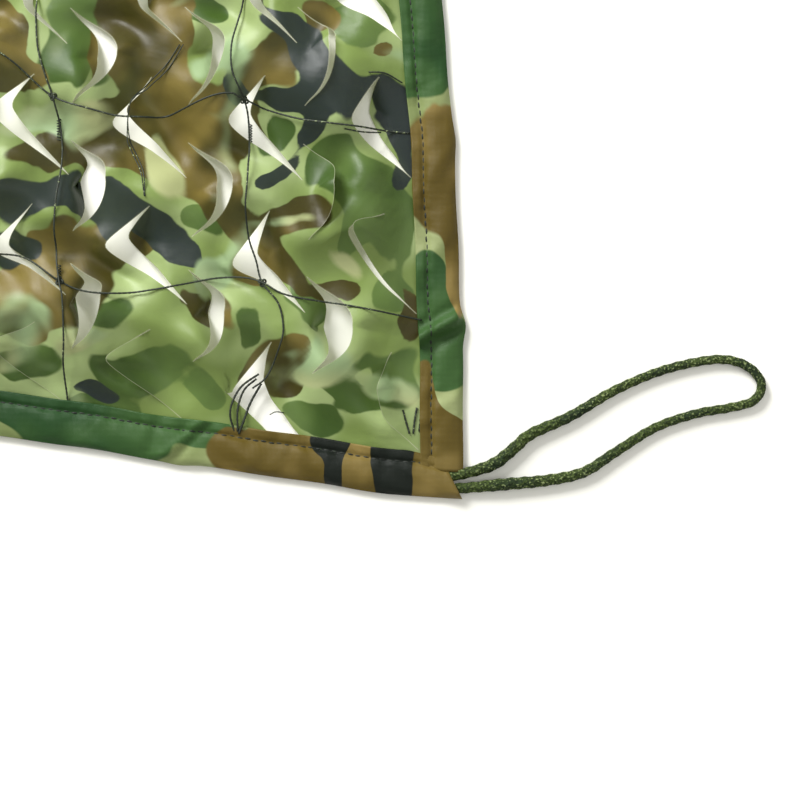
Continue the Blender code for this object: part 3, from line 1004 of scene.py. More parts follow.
@dataclass
class GarnishCloth:
    """The leaf-cut cloth: one sheet, with a > cut and a < cut in each repeat.

    It is meshed along the cuts. A repeat is 36 by 40 lattice steps, and every lattice line runs
    diagonally, so that the arms of the cuts follow mesh edges.
    """

    finish: bpy.types.Material
    camouflage: PrintAndHighlightFields
    seed: int = 11
    steps: tuple = (36, 40)
    right_arms: tuple = (15, 14)
    left_arms: tuple = (10, 20)
    left_tip: int = 16
    row_shift: int = 4
    beyond: int = 12
    uncut: float = 5.6
    least_tip: float = 12.0
    torn: tuple = (0, -1)
    torn_steps: int = 10
    edge_height: float = 1.9
    body_height: float = 9.6
    roll_height: float = 1.6
    lowest: float = 0.7
    soften: int = 5
    folds: int = 16
    fold_depth: float = 0.055
    blunt: float = 0.25
    stray: float = 3.2
    least_leaf: tuple = (-1.0, -4.5, -1.5, 0.0)
    most_leaf: tuple = (12.0, 4.5, 4.0, 2.0)
    all_columns: tuple = (-14, 5)
    all_rows: tuple = (-5, 12)
    curl_opens: tuple = (0.0, 4.0, 7.0, 10.0, 13.0)
    curl_turns: tuple = (0.6, 1.25, 1.65, 2.05, 2.4)
    curl_share: float = 0.2
    lift_gain: float = 1.9
    lip_gain: float = 1.8
    flat_rim: float = 6.0
    eased_over: float = 22.0
    freed_over: float = 9.0
    right_reach: tuple = (28.0, 30.0)
    right_way: tuple = (0.997, 0.078)
    left_reach: tuple = (20.0, 40.0)
    left_way: tuple = (-0.82, -0.57)

    def build(self) -> bpy.types.Object:
        """Returns:
            The cloth.
        """
        bm = self._lattice()
        self._cut(bm)
        mesh = mesh_from(bm, "garnish")
        self._lay(mesh)
        obj = add_object("garnish", mesh, self.finish)
        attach(obj, "root")
        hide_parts("garnish_cloth")
        return obj

    def _step(self) -> tuple:
        """The size of a lattice step each way."""
        return PLAN.repeat[0] / self.steps[0], PLAN.repeat[1] / self.steps[1]

    def _lattice(self) -> bmesh.types.BMesh:
        """A diagonal grid over the whole cloth, trimmed to its edges, in millimetres.

        Returns:
            The grid as a bmesh.
        """
        # The grid has span steps along each diagonal, and its middle is mid_a and mid_b steps from the tip.
        step_x, step_y = self._step()
        span, mid_a, mid_b = 410, -14, -136
        tip_x, tip_y = PLAN.first_tip
        matrix = Matrix(
            (
                (step_x * span, step_x * span, 0.0, tip_x + step_x * (mid_a + mid_b)),
                (step_y * span, -step_y * span, 0.0, tip_y + step_y * (mid_a - mid_b)),
                (0.0, 0.0, 1.0, 0.0),
                (0.0, 0.0, 0.0, 1.0),
            )
        )
        bm = bmesh.new()
        bmesh.ops.create_grid(bm, x_segments=span, y_segments=span, size=0.5, matrix=matrix)
        ends = PLAN.limits()
        outward = {Side.LEFT: (-1, 0, 0), Side.RIGHT: (1, 0, 0), Side.BOTTOM: (0, -1, 0), Side.TOP: (0, 1, 0)}
        for side, normal in outward.items():
            place = Vector(normal) * abs(ends[side])
            everything = [*bm.verts, *bm.edges, *bm.faces]
            bmesh.ops.bisect_plane(
                bm, geom=everything, dist=1e-4, plane_co=place, plane_no=normal, clear_outer=True
            )
        if sum(face.normal.z for face in bm.faces) < 0:
            bmesh.ops.reverse_faces(bm, faces=bm.faces)
        return bm

    def _cut(self, bm: bmesh.types.BMesh) -> None:
        """Split the lattice along the arms of every cut.

        Args:
            bm: the flat lattice.
        """
        bm.verts.index_update()
        places = np.array([vert.co[:2] for vert in bm.verts])
        ends = np.array([[vert.index for vert in edge.verts] for edge in bm.edges])
        middle = places[ends].mean(axis=1)
        near = 0.05
        columns, rows, u, v = self._repeat_of(middle[:, 0], middle[:, 1], right=True)
        tip_x = PLAN.first_tip[0] + PLAN.repeat[0] * columns
        tip_y = PLAN.first_tip[1] + PLAN.repeat[1] * rows
        whole = PLAN.edge_distance(tip_x, tip_y) > self.least_tip
        upper = (np.abs(u) < near) & (v > -2 * self.right_arms[0]) & (v < 0) & whole
        lower = (np.abs(v) < near) & (u > -2 * self.right_arms[1]) & (u < 0) & whole
        _, _, u, v = self._repeat_of(middle[:, 0], middle[:, 1], right=False)
        hook = (np.abs(v) < near) & (u > 0) & (u < 2 * self.left_arms[0])
        slit = (np.abs(u) < near) & (v > 0) & (v < 2 * self.left_arms[1])
        inside = PLAN.edge_distance(middle[:, 0], middle[:, 1]) > self.uncut
        chosen = (upper | lower | hook | slit) & inside
        bmesh.ops.split_edges(bm, edges=[edge for edge, wanted in zip(bm.edges, chosen) if wanted])
        middle = np.array([face.calc_center_median()[:2] for face in bm.faces])
        columns, rows, u, v = self._repeat_of(middle[:, 0], middle[:, 1], right=False)
        lost = (columns == self.torn[0]) & (rows == self.torn[1])
        lost = lost & (u < 0) & (u > -self.torn_steps) & (v > 0)
        gone = [face for face, torn in zip(bm.faces, lost) if torn]
        bmesh.ops.delete(bm, geom=gone, context="FACES")

    def _repeat_of(self, x: np.ndarray, y: np.ndarray, right: bool) -> tuple:
        """Which repeat's cut each point belongs to, and where it is from that cut's tip.

        Args:
            x, y: points on the flat cloth.
            right: for the > cuts, and not the < ones.

        Returns:
            The repeats' columns and rows, and the points' two diagonal lattice coordinates.
        """
        step_x, step_y = self._step()
        i, j = (x - PLAN.first_tip[0]) / step_x, (y - PLAN.first_tip[1]) / step_y
        wide, high = self.steps
        if right:
            column, row = np.ceil((i - self.beyond) / wide), np.floor((j + high / 2) / high)
            tip = 0
        else:
            column, row = np.floor((i + self.beyond) / wide), np.floor((j + high - self.row_shift) / high)
            tip = self.left_tip
        i, j = i - wide * column, j - high * row + tip
        return column.astype(int), row.astype(int), i + j, i - j

    def _warp(self, x: np.ndarray, y: np.ndarray) -> tuple:
        """Bend the lattice a little in each repeat, so that the cuts have round tips and bowed arms.

        Args:
            x, y: places on the even lattice.

        Returns:
            The moved places.
        """
        # A bend is where in the repeat it is, how far it moves the cloth there, and how wide it is. A round
        # is how far up a cut's tip is, how round the tip is made, and how far it is moved back.
        bends = (
            ((-9.5, 11.0), (1.6, 1.4), 8.0),
            ((-9.0, -9.5), (1.4, -1.2), 8.0),
            ((12.0, -36.0), (-1.2, -0.9), 8.0),
        )
        rounds = ((0.0, -7.0, 3.6), (-self.left_tip * self._step()[1], 3.0, -1.0))
        round_from, round_over = 1.3, 20.0
        moved_x, moved_y = x.copy(), y.copy()
        wide, high = PLAN.repeat
        for (at_x, at_y), (by_x, by_y), reach in bends:
            off_x = (x - PLAN.first_tip[0] - at_x + wide / 2) % wide - wide / 2
            off_y = (y - PLAN.first_tip[1] - at_y + high / 2) % high - high / 2
            share = np.exp(-(off_x**2 + off_y**2) / (2 * reach**2))
            moved_x += by_x * share
            moved_y += by_y * share
        for at_y, bend, back in rounds:
            off_x = (x - PLAN.first_tip[0] + wide / 2) % wide - wide / 2
            off_y = np.abs((y - PLAN.first_tip[1] - at_y + high / 2) % high - high / 2)
            share = smooth_step(round_from - np.hypot(off_x, off_y) / round_over)
            moved_x += (math.copysign(1.0, bend) * (np.hypot(off_y, bend) - off_y) + back) * share
        step_x, step_y = self._step()
        i, j = (x - PLAN.first_tip[0]) / step_x, (y - PLAN.first_tip[1]) / step_y
        for placed, tip in ((RIGHT_LEAVES, 0), (LEFT_LEAVES, self.left_tip)):
            columns, rows = np.round(i / self.steps[0]), np.round((j + tip) / self.steps[1])
            away = np.hypot(i - self.steps[0] * columns, j + tip - self.steps[1] * rows)
            *_, by_x, by_y = self._leaf_numbers(placed, columns.astype(int), rows.astype(int))
            share = smooth_step(1.0 - away / self.left_tip)
            moved_x += by_x * share
            moved_y += by_y * share
        return moved_x, moved_y

    def _leaf_numbers(self, placed: dict, columns: np.ndarray, rows: np.ndarray) -> tuple:
        """Each point's leaf, as its six numbers.

        Args:
            placed: the listed leaves, by column and row; the rest are drawn at random.
            columns, rows: the repeats that the points belong to.

        Returns:
            Six arrays, in the order of Leaf.numbers.
        """
        rng = np.random.default_rng(self.seed + len(placed))
        table = {}
        low = (*self.least_leaf, -self.stray, -self.stray)
        high = (*self.most_leaf, self.stray, self.stray)
        for column in range(*self.all_columns):
            for row in range(*self.all_rows):
                drawn = Leaf(*rng.uniform(low, high))
                table[(column, row)] = placed.get((column, row), drawn).numbers()
        keys, where = np.unique(np.stack([columns, rows]), axis=1, return_inverse=True)
        values = np.array([table.get(tuple(key), (0,) * 6) for key in keys.T])
        return tuple(values[where.reshape(-1)].T)

    def _base_height(self, x: np.ndarray, y: np.ndarray, ease: np.ndarray) -> np.ndarray:
        """The height of the uncut cloth: long rolls, and a ridge and a trough in each repeat.

        Args:
            x, y: places on the flat cloth.
            ease: 0 where the cloth is held flat, 1 where it is free.

        Returns:
            The heights.
        """
        long_roll, short_roll, short_share = 133.0, 91.0, 0.8
        across_height, up_height, ripple_height = 3.6, 2.4, 0.7
        least_fold, most_fold = 18, 44
        roll = np.sin(2 * np.pi * (x + 0.4 * y) / long_roll)
        roll = roll + short_share * np.sin(2 * np.pi * (y - 0.25 * x) / short_roll + 1.0)
        beat_x, beat_y = (x - PLAN.first_tip[0]) / PLAN.repeat[0], (y - PLAN.first_tip[1]) / PLAN.repeat[1]
        ridge = across_height * np.cos(2 * np.pi * (beat_y - 0.12 * np.sin(2 * np.pi * beat_x) + 0.1))
        ridge += up_height * np.sin(2 * np.pi * (beat_x + beat_y * 0.5) + 0.6)
        ripple = ripple_height * np.sin(x / 5.9 + 1.6 * np.sin(y / 14.0))
        ripple *= np.sin(y / 8.5 + 0.7 * np.sin(x / 11.0))
        rng = np.random.default_rng(self.seed)
        for _ in range(self.folds):
            lean, length, phase = rng.uniform(0, np.pi), rng.uniform(least_fold, most_fold), rng.uniform(0, 6)
            beat = (x * math.cos(lean) + y * math.sin(lean)) / length + 0.30 * np.sin(x / 27.0 + phase)
            beat += 0.25 * np.sin(y / 19.0 - phase)
            patchy = smooth_step(0.5 + 0.9 * np.sin(x / 23.0 + 2 * phase) * np.sin(y / 19.0 - phase))
            ripple += self.fold_depth * length * (0.6 - np.abs(np.sin(np.pi * beat))) * patchy
        body = self.body_height + self.roll_height * 0.8 * roll + ridge + ripple
        return self.edge_height + ease * (body - self.edge_height)

    def _lay(self, mesh: bpy.types.Mesh) -> None:
        """Move the flat cloth into its place, curl its leaves, and keep its print and painted highlight
        fields.

        Args:
            mesh: the cut cloth, flat.
        """
        count = len(mesh.vertices)
        flat = np.empty(count * 3)
        mesh.vertices.foreach_get("co", flat)
        flat = flat.reshape(-1, 3)
        x, y = flat[:, 0].copy(), flat[:, 1].copy()
        side_x, side_y = self._face_side(mesh)
        warped_x, warped_y = self._warp(x, y)
        distance = PLAN.edge_distance(x, y)
        ease = smooth_step((distance - self.flat_rim) / self.eased_over)
        freed = smooth_step((distance - self.uncut) / self.freed_over)
        height = self._base_height(warped_x, warped_y, ease)
        print_x, print_y = PLAN.laid(warped_x, warped_y)
        move_x, move_y = np.zeros(count), np.zeros(count)
        cuts = (
            (True, RIGHT_LEAVES, self.right_reach, self.right_way),
            (False, LEFT_LEAVES, self.left_reach, self.left_way),
        )
        for right, placed, (reach_u, reach_v), (toward_x, toward_y) in cuts:
            columns, rows, u, v = self._repeat_of(x, y, right)
            side_columns, side_rows, side_u, side_v = self._repeat_of(side_x, side_y, right)
            shift_u = self.steps[0] * (side_columns - columns) + self.steps[1] * (side_rows - rows)
            shift_v = self.steps[0] * (side_columns - columns) - self.steps[1] * (side_rows - rows)
            u, v = u - shift_u, v - shift_v
            opened, lift, lip, push, *_ = self._leaf_numbers(placed, side_columns, side_rows)
            if right:
                tongue = (side_u < 0) & (side_v < 0)
                u, v = -u, -v
            else:
                tongue = (side_u > 0) & (side_v > 0)
            away = np.maximum(u, 0) / reach_u + np.maximum(v, 0) / reach_v
            away = (np.hypot(away, self.blunt) - self.blunt) / (math.hypot(1.0, self.blunt) - self.blunt)
            drawn = np.clip(1.0 - away, 0.0, 1.0)
            turn = np.interp(np.abs(opened), self.curl_opens, self.curl_turns)
            curl = (drawn - np.sin(turn * drawn) / turn) / (1.0 - np.sin(turn) / turn)
            pull = ((1.0 - self.curl_share) * drawn + self.curl_share * curl) * tongue * freed
            move_x -= toward_x * opened * pull
            move_y -= toward_y * opened * pull
            risen = (1.0 - np.cos(turn * drawn)) / (1.0 - np.cos(turn))
            height += self.lift_gain * lift * risen * tongue * ease
            aside = np.clip(1 - np.abs(u) / np.where(u > 0, reach_u, self.beyond), 0, 1)
            aside *= np.clip(1 - np.abs(v) / np.where(v > 0, reach_v, self.beyond), 0, 1)
            aside = smooth_step(aside) * ~tongue * freed
            move_x += toward_x * push * aside
            move_y += toward_y * push * aside
            height += self.lip_gain * lip * aside * ease
        height = self._softened(mesh, height)
        x, y = PLAN.laid(warped_x + move_x, warped_y + move_y)
        places = np.column_stack([x, y, np.maximum(height, self.lowest)])
        mesh.vertices.foreach_set("co", (places * MM).reshape(-1))
        self.camouflage.write(mesh, print_x, print_y)
        self._mark_rims(mesh, distance)
        self._keep_flat_map(mesh, flat)
        mesh.update()

    def _softened(self, mesh: bpy.types.Mesh, height: np.ndarray) -> np.ndarray:
        """Even out the heights along the mesh, each side of a cut on its own.

        Args:
            mesh: the cut cloth.
            height: a height for each vertex.

        Returns:
            The evened heights.
        """
        own = 0.4
        ends = np.empty(len(mesh.edges) * 2, dtype=np.int64)
        mesh.edges.foreach_get("vertices", ends)
        start, end = ends.reshape(-1, 2).T
        count = np.bincount(start, minlength=len(height)) + np.bincount(end, minlength=len(height))
        for _ in range(self.soften):
            around = np.bincount(start, height[end], len(height))
            around = around + np.bincount(end, height[start], len(height))
            height = own * height + (1.0 - own) * around / count
        return height

    @staticmethod
    def _face_side(mesh: bpy.types.Mesh) -> tuple:
        """The middle of the faces round each vertex, which tells the two sides of a cut apart.

        Args:
            mesh: the cut cloth, flat.

        Returns:
            The x and y of a place for each vertex.
        """
        count = len(mesh.polygons)
        centres, totals = np.empty(count * 3), np.empty(count, dtype=np.int64)
        mesh.polygons.foreach_get("center", centres)
        mesh.polygons.foreach_get("loop_total", totals)
        corners = np.empty(len(mesh.loops), dtype=np.int64)
        mesh.loops.foreach_get("vertex_index", corners)
        spread = np.repeat(centres.reshape(-1, 3), totals, axis=0)
        share = np.bincount(corners, minlength=len(mesh.vertices))
        side_x = np.bincount(corners, spread[:, 0], len(mesh.vertices)) / share
        side_y = np.bincount(corners, spread[:, 1], len(mesh.vertices)) / share
        return side_x, side_y

    @staticmethod
    def _mark_rims(mesh: bpy.types.Mesh, distance: np.ndarray) -> None:
        """Keep 1 on the vertices of cut edges and 0 on the rest, to place the painted highlight along cut
        edges.

        Args:
            mesh: the cut cloth.
            distance: how far each vertex is from the cloth's edge.
        """
        held_rim = 1.0
        ends = np.empty(len(mesh.edges) * 2, dtype=np.int64)
        mesh.edges.foreach_get("vertices", ends)
        ends = ends.reshape(-1, 2)
        sides = np.empty(len(mesh.loops), dtype=np.int64)
        mesh.loops.foreach_get("edge_index", sides)
        open_edges = np.bincount(sides, minlength=len(ends)) == 1
        rim = np.zeros(len(mesh.vertices), dtype=np.float32)
        rim[ends[open_edges].reshape(-1)] = 1.0
        rim[distance < held_rim] = 0.0
        mesh.attributes.new("rim", "FLOAT", "POINT").data.foreach_set("value", rim)

    @staticmethod
    def _keep_flat_map(mesh: bpy.types.Mesh, flat: np.ndarray) -> None:
        """Keep the flat cloth as a UV map.

        Args:
            mesh: the cut cloth.
            flat: where its vertices are on the flat cloth.
        """
        margin = 1.02
        corners = np.empty(len(mesh.loops), dtype=np.int64)
        mesh.loops.foreach_get("vertex_index", corners)
        spread = flat[corners, :2] / (margin * 2 * PLAN.half) + 0.5
        mesh.uv_layers.new(name="OFBake").data.foreach_set("uv", spread.reshape(-1))


# ---------------------------------------------------------------- bindings


@dataclass(frozen=True)
class Crease:
    """A fold across a binding: where it crosses the middle, its slant, its width and its depth."""

    along: float
    slant: float
    width: float
    depth: float
    nick: float = 0.0


@dataclass
class Binding:
    """A doubled strip folded over an edge of the cloth and stitched down."""

    side: Side
    finish: bpy.types.Material
    thread: bpy.types.Material
    camouflage: PrintAndHighlightFields
    creases: tuple
    cover: float = 0.22
    stitch_in: float = 4.8
    tip_slant: float = 8.8
    tip_narrowing: float = 2.2
    tip_taper: float = 15.0
    side_start: float = 10.9
    side_slope: float = 0.05
    station: float = 1.6

    def build(self) -> list:
        """Make the folded strip and its row of stitches.

        Returns:
            The strip and its stitches.
        """
        width = PLAN.widths[self.side]
        # The profile goes from the inner edge over the upper ply, round the outer edge and back below.
        top = np.concatenate([np.linspace(1.0, 0.12, 23), np.array([0.07, 0.03, 0.008, 0.0])])
        under = np.concatenate([np.array([0.008, 0.03, 0.07]), np.linspace(0.12, 0.97, 9)])
        shares = np.concatenate([top, under])
        upper = np.concatenate([np.full(len(top), True), np.full(len(under), False)])
        points = self._points(shares, upper, width)
        bm = grid_mesh(points)
        bmesh.ops.solidify(bm, geom=[*bm.verts, *bm.edges, *bm.faces], thickness=self.cover * MM)
        bmesh.ops.recalc_face_normals(bm, faces=bm.faces)
        mesh = mesh_from(bm, "binding")
        held = np.empty(len(mesh.vertices) * 3)
        mesh.vertices.foreach_get("co", held)
        held = held.reshape(-1, 3) / MM
        self.camouflage.write(mesh, held[:, 0], held[:, 1])
        obj = add_object("hem_" + self.side.value, mesh, self.finish)
        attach(obj, "root")
        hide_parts("binding_" + self.side.value)
        return [obj, self._stitches(width)]

    def _end(self, inward: np.ndarray, width: float) -> np.ndarray:
        """How far along from the middle the strip's end is, at a distance in.

        Args:
            inward: distances in from the outer edge.
            width: the strip's width.

        Returns:
            The distances along.
        """
        if self.side.crossing:
            return PLAN.half - self.tip_slant * inward / (width - self.tip_narrowing)
        return PLAN.half - self.side_start - self.side_slope * inward

    def _points(self, shares: np.ndarray, upper: np.ndarray, width: float) -> np.ndarray:
        """The strip's grid.

        Args:
            shares: how far in each point of the profile is, as a share of the width.
            upper: which points are of the upper ply.
            width: the strip's full width.

        Returns:
            Points as stations by profile points by 3.
        """
        length = 2 * (PLAN.half - (0.0 if self.side.crossing else self.side_start))
        run = np.linspace(-1.0, 1.0, round(length / self.station) + 1)[:, None]
        narrowed = np.full_like(run, width)
        if self.side.crossing:
            near_end = smooth_step((np.abs(run) * PLAN.half - PLAN.half + self.tip_taper) / self.tip_taper)
            narrowed = width - self.tip_narrowing * near_end
        inward = shares[None, :] * narrowed
        along = run * self._end(inward, width)
        height = self._height(along, inward, upper[None, :], narrowed)
        inward = inward + self._edge_wander(along, shares[None, :])
        x, y = PLAN.place(self.side, along, inward)
        return np.stack([x, y, height], axis=2)

    def _edge_wander(self, along: np.ndarray, shares: np.ndarray) -> np.ndarray:
        """Small unevenness of the strip's two edges.

        Args:
            along: distances along from the middle.
            shares: how far in, as a share of the width.

        Returns:
            How far inward each place is moved.
        """
        nick_width = 6.0
        wander = 0.35 * np.sin(along / 17.0 + 1.0) + 0.25 * np.sin(along / 7.3)
        for crease in self.creases:
            near = np.exp(-(((along - crease.along) / nick_width) ** 2))
            wander = wander - crease.nick * near * (1 - shares)
        return wander

    def _height(
        self, along: np.ndarray, inward: np.ndarray, upper: np.ndarray, width: np.ndarray
    ) -> np.ndarray:
        """How high the strip's face is: a round outer edge, a soft swell and a valley at the stitches.

        Args:
            along: distances along from the middle.
            inward: distances in from the outer edge.
            upper: True for places on the upper ply.
            width: the strip's width there.

        Returns:
            The heights.
        """
        low, mid_fold, least_top, ply = 0.35, 1.9, 2.35, 1.35
        fold_round, swell_from, swell_height = 2.2, 1.0, 1.15
        valley_width, pucker_height, pucker_width, pucker_pitch = 1.1, 0.24, 3.2, 6.4
        tip_rise, tip_length = 1.2, 9.0
        turn = np.sqrt(np.clip(1 - (1 - np.minimum(inward, fold_round) / fold_round) ** 2, 0, 1))
        body = np.clip((inward - swell_from) / (width - self.stitch_in - swell_from), 0, 1)
        swell = swell_height * np.sin(np.pi * body) ** 0.8
        swell = swell * (1 + 0.3 * np.sin(along / 31.0) + 0.2 * np.sin(along / 12.7 + 2))
        from_stitch = inward - width + self.stitch_in
        valley = np.exp(-((from_stitch / valley_width) ** 2))
        pucker = pucker_height * np.sin(along * 2 * np.pi / pucker_pitch + 0.8 * np.sin(along / 9))
        pucker = pucker * np.exp(-((from_stitch / pucker_width) ** 2))
        fold = np.zeros_like(along)
        for crease in self.creases:
            off = (along - crease.along - crease.slant * (inward - 0.5 * width)) / crease.width
            fold = fold + crease.depth * (np.exp(-(off**2)) - 0.55 * np.exp(-((off - 1.7) ** 2)))
        fold = fold * np.clip(inward / 3.0, 0, 1)
        flutter = 0.42 * np.sin(along / 5.3 + inward / 2.6) * np.sin(along / 21.0 + 1)
        puff = np.sin(along / 14.0 + inward / 9.0 + 1.3 * np.sin(along / 33.0))
        flutter = flutter + 0.75 * (0.6 - np.abs(puff))
        over = mid_fold + (ply + swell - valley + pucker + fold + flutter) * turn
        if self.side.crossing:
            over = over + tip_rise * np.exp(-(((PLAN.half - np.abs(along)) / tip_length) ** 2)) * turn
        below = mid_fold - (mid_fold - low) * turn
        return np.where(upper, np.maximum(over, least_top), below)

    def _stitches(self, width: float) -> bpy.types.Object:
        """A row of short stitches along the valley.

        Args:
            width: the strip's width.

        Returns:
            The row of stitches.
        """
        pitch, run, sides, end_gap = 3.3, 3.05, 6, 3.0
        dip = np.array([-0.35, 0.12, 0.22, 0.22, 0.12, -0.35])
        radii = np.repeat(np.array([[0.2], [0.32], [0.36], [0.36], [0.32], [0.2]]), sides, axis=1)
        reach = self._end(np.array(width - self.stitch_in), width) - end_gap
        bm = bmesh.new()
        for start in np.arange(-reach, reach - run, pitch):
            along = start + np.linspace(0.0, run, len(dip))
            inward = np.full_like(along, width - self.stitch_in) + 0.15 * math.sin(start)
            upper, full = np.array([[True]]), np.array([[width]])
            top = self._height(along[None, :], inward[None, :], upper, full)[0]
            x, y = PLAN.place(self.side, along, inward + self._edge_wander(along, inward / width))
            points = tube_points(np.column_stack([x, y, top + dip]), radii, sides)
            part = mesh_from(grid_mesh(points, round_joint=True, lids=True), "stitch")
            bm.from_mesh(part)
            bpy.data.meshes.remove(part)
        obj = add_object("stitches_" + self.side.value, mesh_from(bm, "stitches"), self.thread)
        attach(obj, "root")
        return obj


# ---------------------------------------------------------------- carrying mesh


@dataclass(frozen=True)
class Strand:
    """A loose end of thin cord: the points it passes and its width."""

    stops: tuple
    width: float


# Knots and cords of the mesh, in millimetres from the net's middle. A key is a column and a row of knots,
# or a cord's direction and its number.
KNOTS_ACROSS = (213.3, 131.8, 50.3, -31.2, -112.7, -194.2)
KNOTS_UP = (-209.9, -133.9, -57.9, 18.1, 94.1, 170.1)
SHOWN_KNOTS = {
    (0, 0): (216.8, -210.1),
    (1, 0): (133.3, -209.7),
    (0, 1): (209.7, -134.9),
    (1, 1): (129.9, -132.8),
}
SHOWN_RUNS = {
    ("across", 0): (
        (84, -202), (94, -198.5), (106, -198), (118.6, -200), (133.3, -209.7), (143.8, -213.9),
        (158.5, -214.7), (175.3, -212.6),
        (196.3, -208.4), (208.9, -208), (216.8, -210.1), (227.8, -215.6), (253, -219.8), (283, -225.4),
    ),
    ("across", 1): (
        (84, -107), (95, -109), (106, -113.9), (114.4, -119.4), (129.9, -132.8), (148, -139.1),
        (160.6, -141.7), (177.4, -140.8),
        (196.3, -134.1), (204.7, -132.8), (209.7, -134.9), (232, -142.1), (250.9, -145), (267.7, -146.3),
        (278, -147),
    ),
    ("up", 0): (
        (212.5, -254), (218.5, -249), (223.6, -237.8), (225.7, -229.4), (223.6, -218.9), (216.8, -210.1),
        (214.3, -200.9), (211.4, -191.6), (210.5, -179), (211.4, -166.4), (211.4, -145.4), (209.7, -134.9),
        (205.1, -123.6), (204.7, -111.8), (206.8, -101.3), (209.3, -90.8),
    ),
    ("up", 1): (
        (135, -262), (134.1, -246.2), (135.4, -233.6), (134.9, -216.8), (133.3, -209.7), (131.2, -195.8),
        (132, -174.8), (133.3, -160.1), (132.4, -145.4), (129.9, -132.8), (127, -124.4), (123.6, -111.8),
        (122.8, -94.2), (123, -84),
    ),
}
SHOWN_TAILS = (
    Strand(((215, -248), (208, -253), (204.3, -259), (203, -265), (204.5, -272)), 1.0),
    Strand(((214, -250), (209, -254.5), (206.3, -262), (206, -272)), 1.0),
    Strand(((216, -252), (211.5, -260), (208.5, -268), (206.5, -273)), 1.1),
    Strand(((285.2, -243.5), (284, -252), (283, -262), (282, -272)), 0.9),
    Strand(((286.5, -245), (285.5, -256), (284.5, -268)), 0.7),
    Strand(((275.2, -263), (276.5, -268), (278, -273)), 0.9),
    Strand(((281, -262), (280, -268), (279.5, -273)), 0.9),
    Strand(((251, -146.5), (258, -147.6), (266, -147.2)), 0.7),
    Strand(((261, -122.5), (268, -122.8), (275, -126.3)), 0.7),
    Strand(((219.5, -265), (222, -263.8), (225.5, -264.2)), 0.5),
    Strand(
        ((183, -112), (177, -121), (169, -128.5), (161.8, -135), (160.5, -149.6), (162.6, -155.9),
         (167, -165), (168.5, -174.8)), 0.55,
    ),
    Strand(
        ((184.5, -112), (178, -122.5), (170, -129.5), (163, -136), (161.8, -149.6), (164, -156),
         (168, -165), (168.8, -174.8)), 0.55,
    ),
)


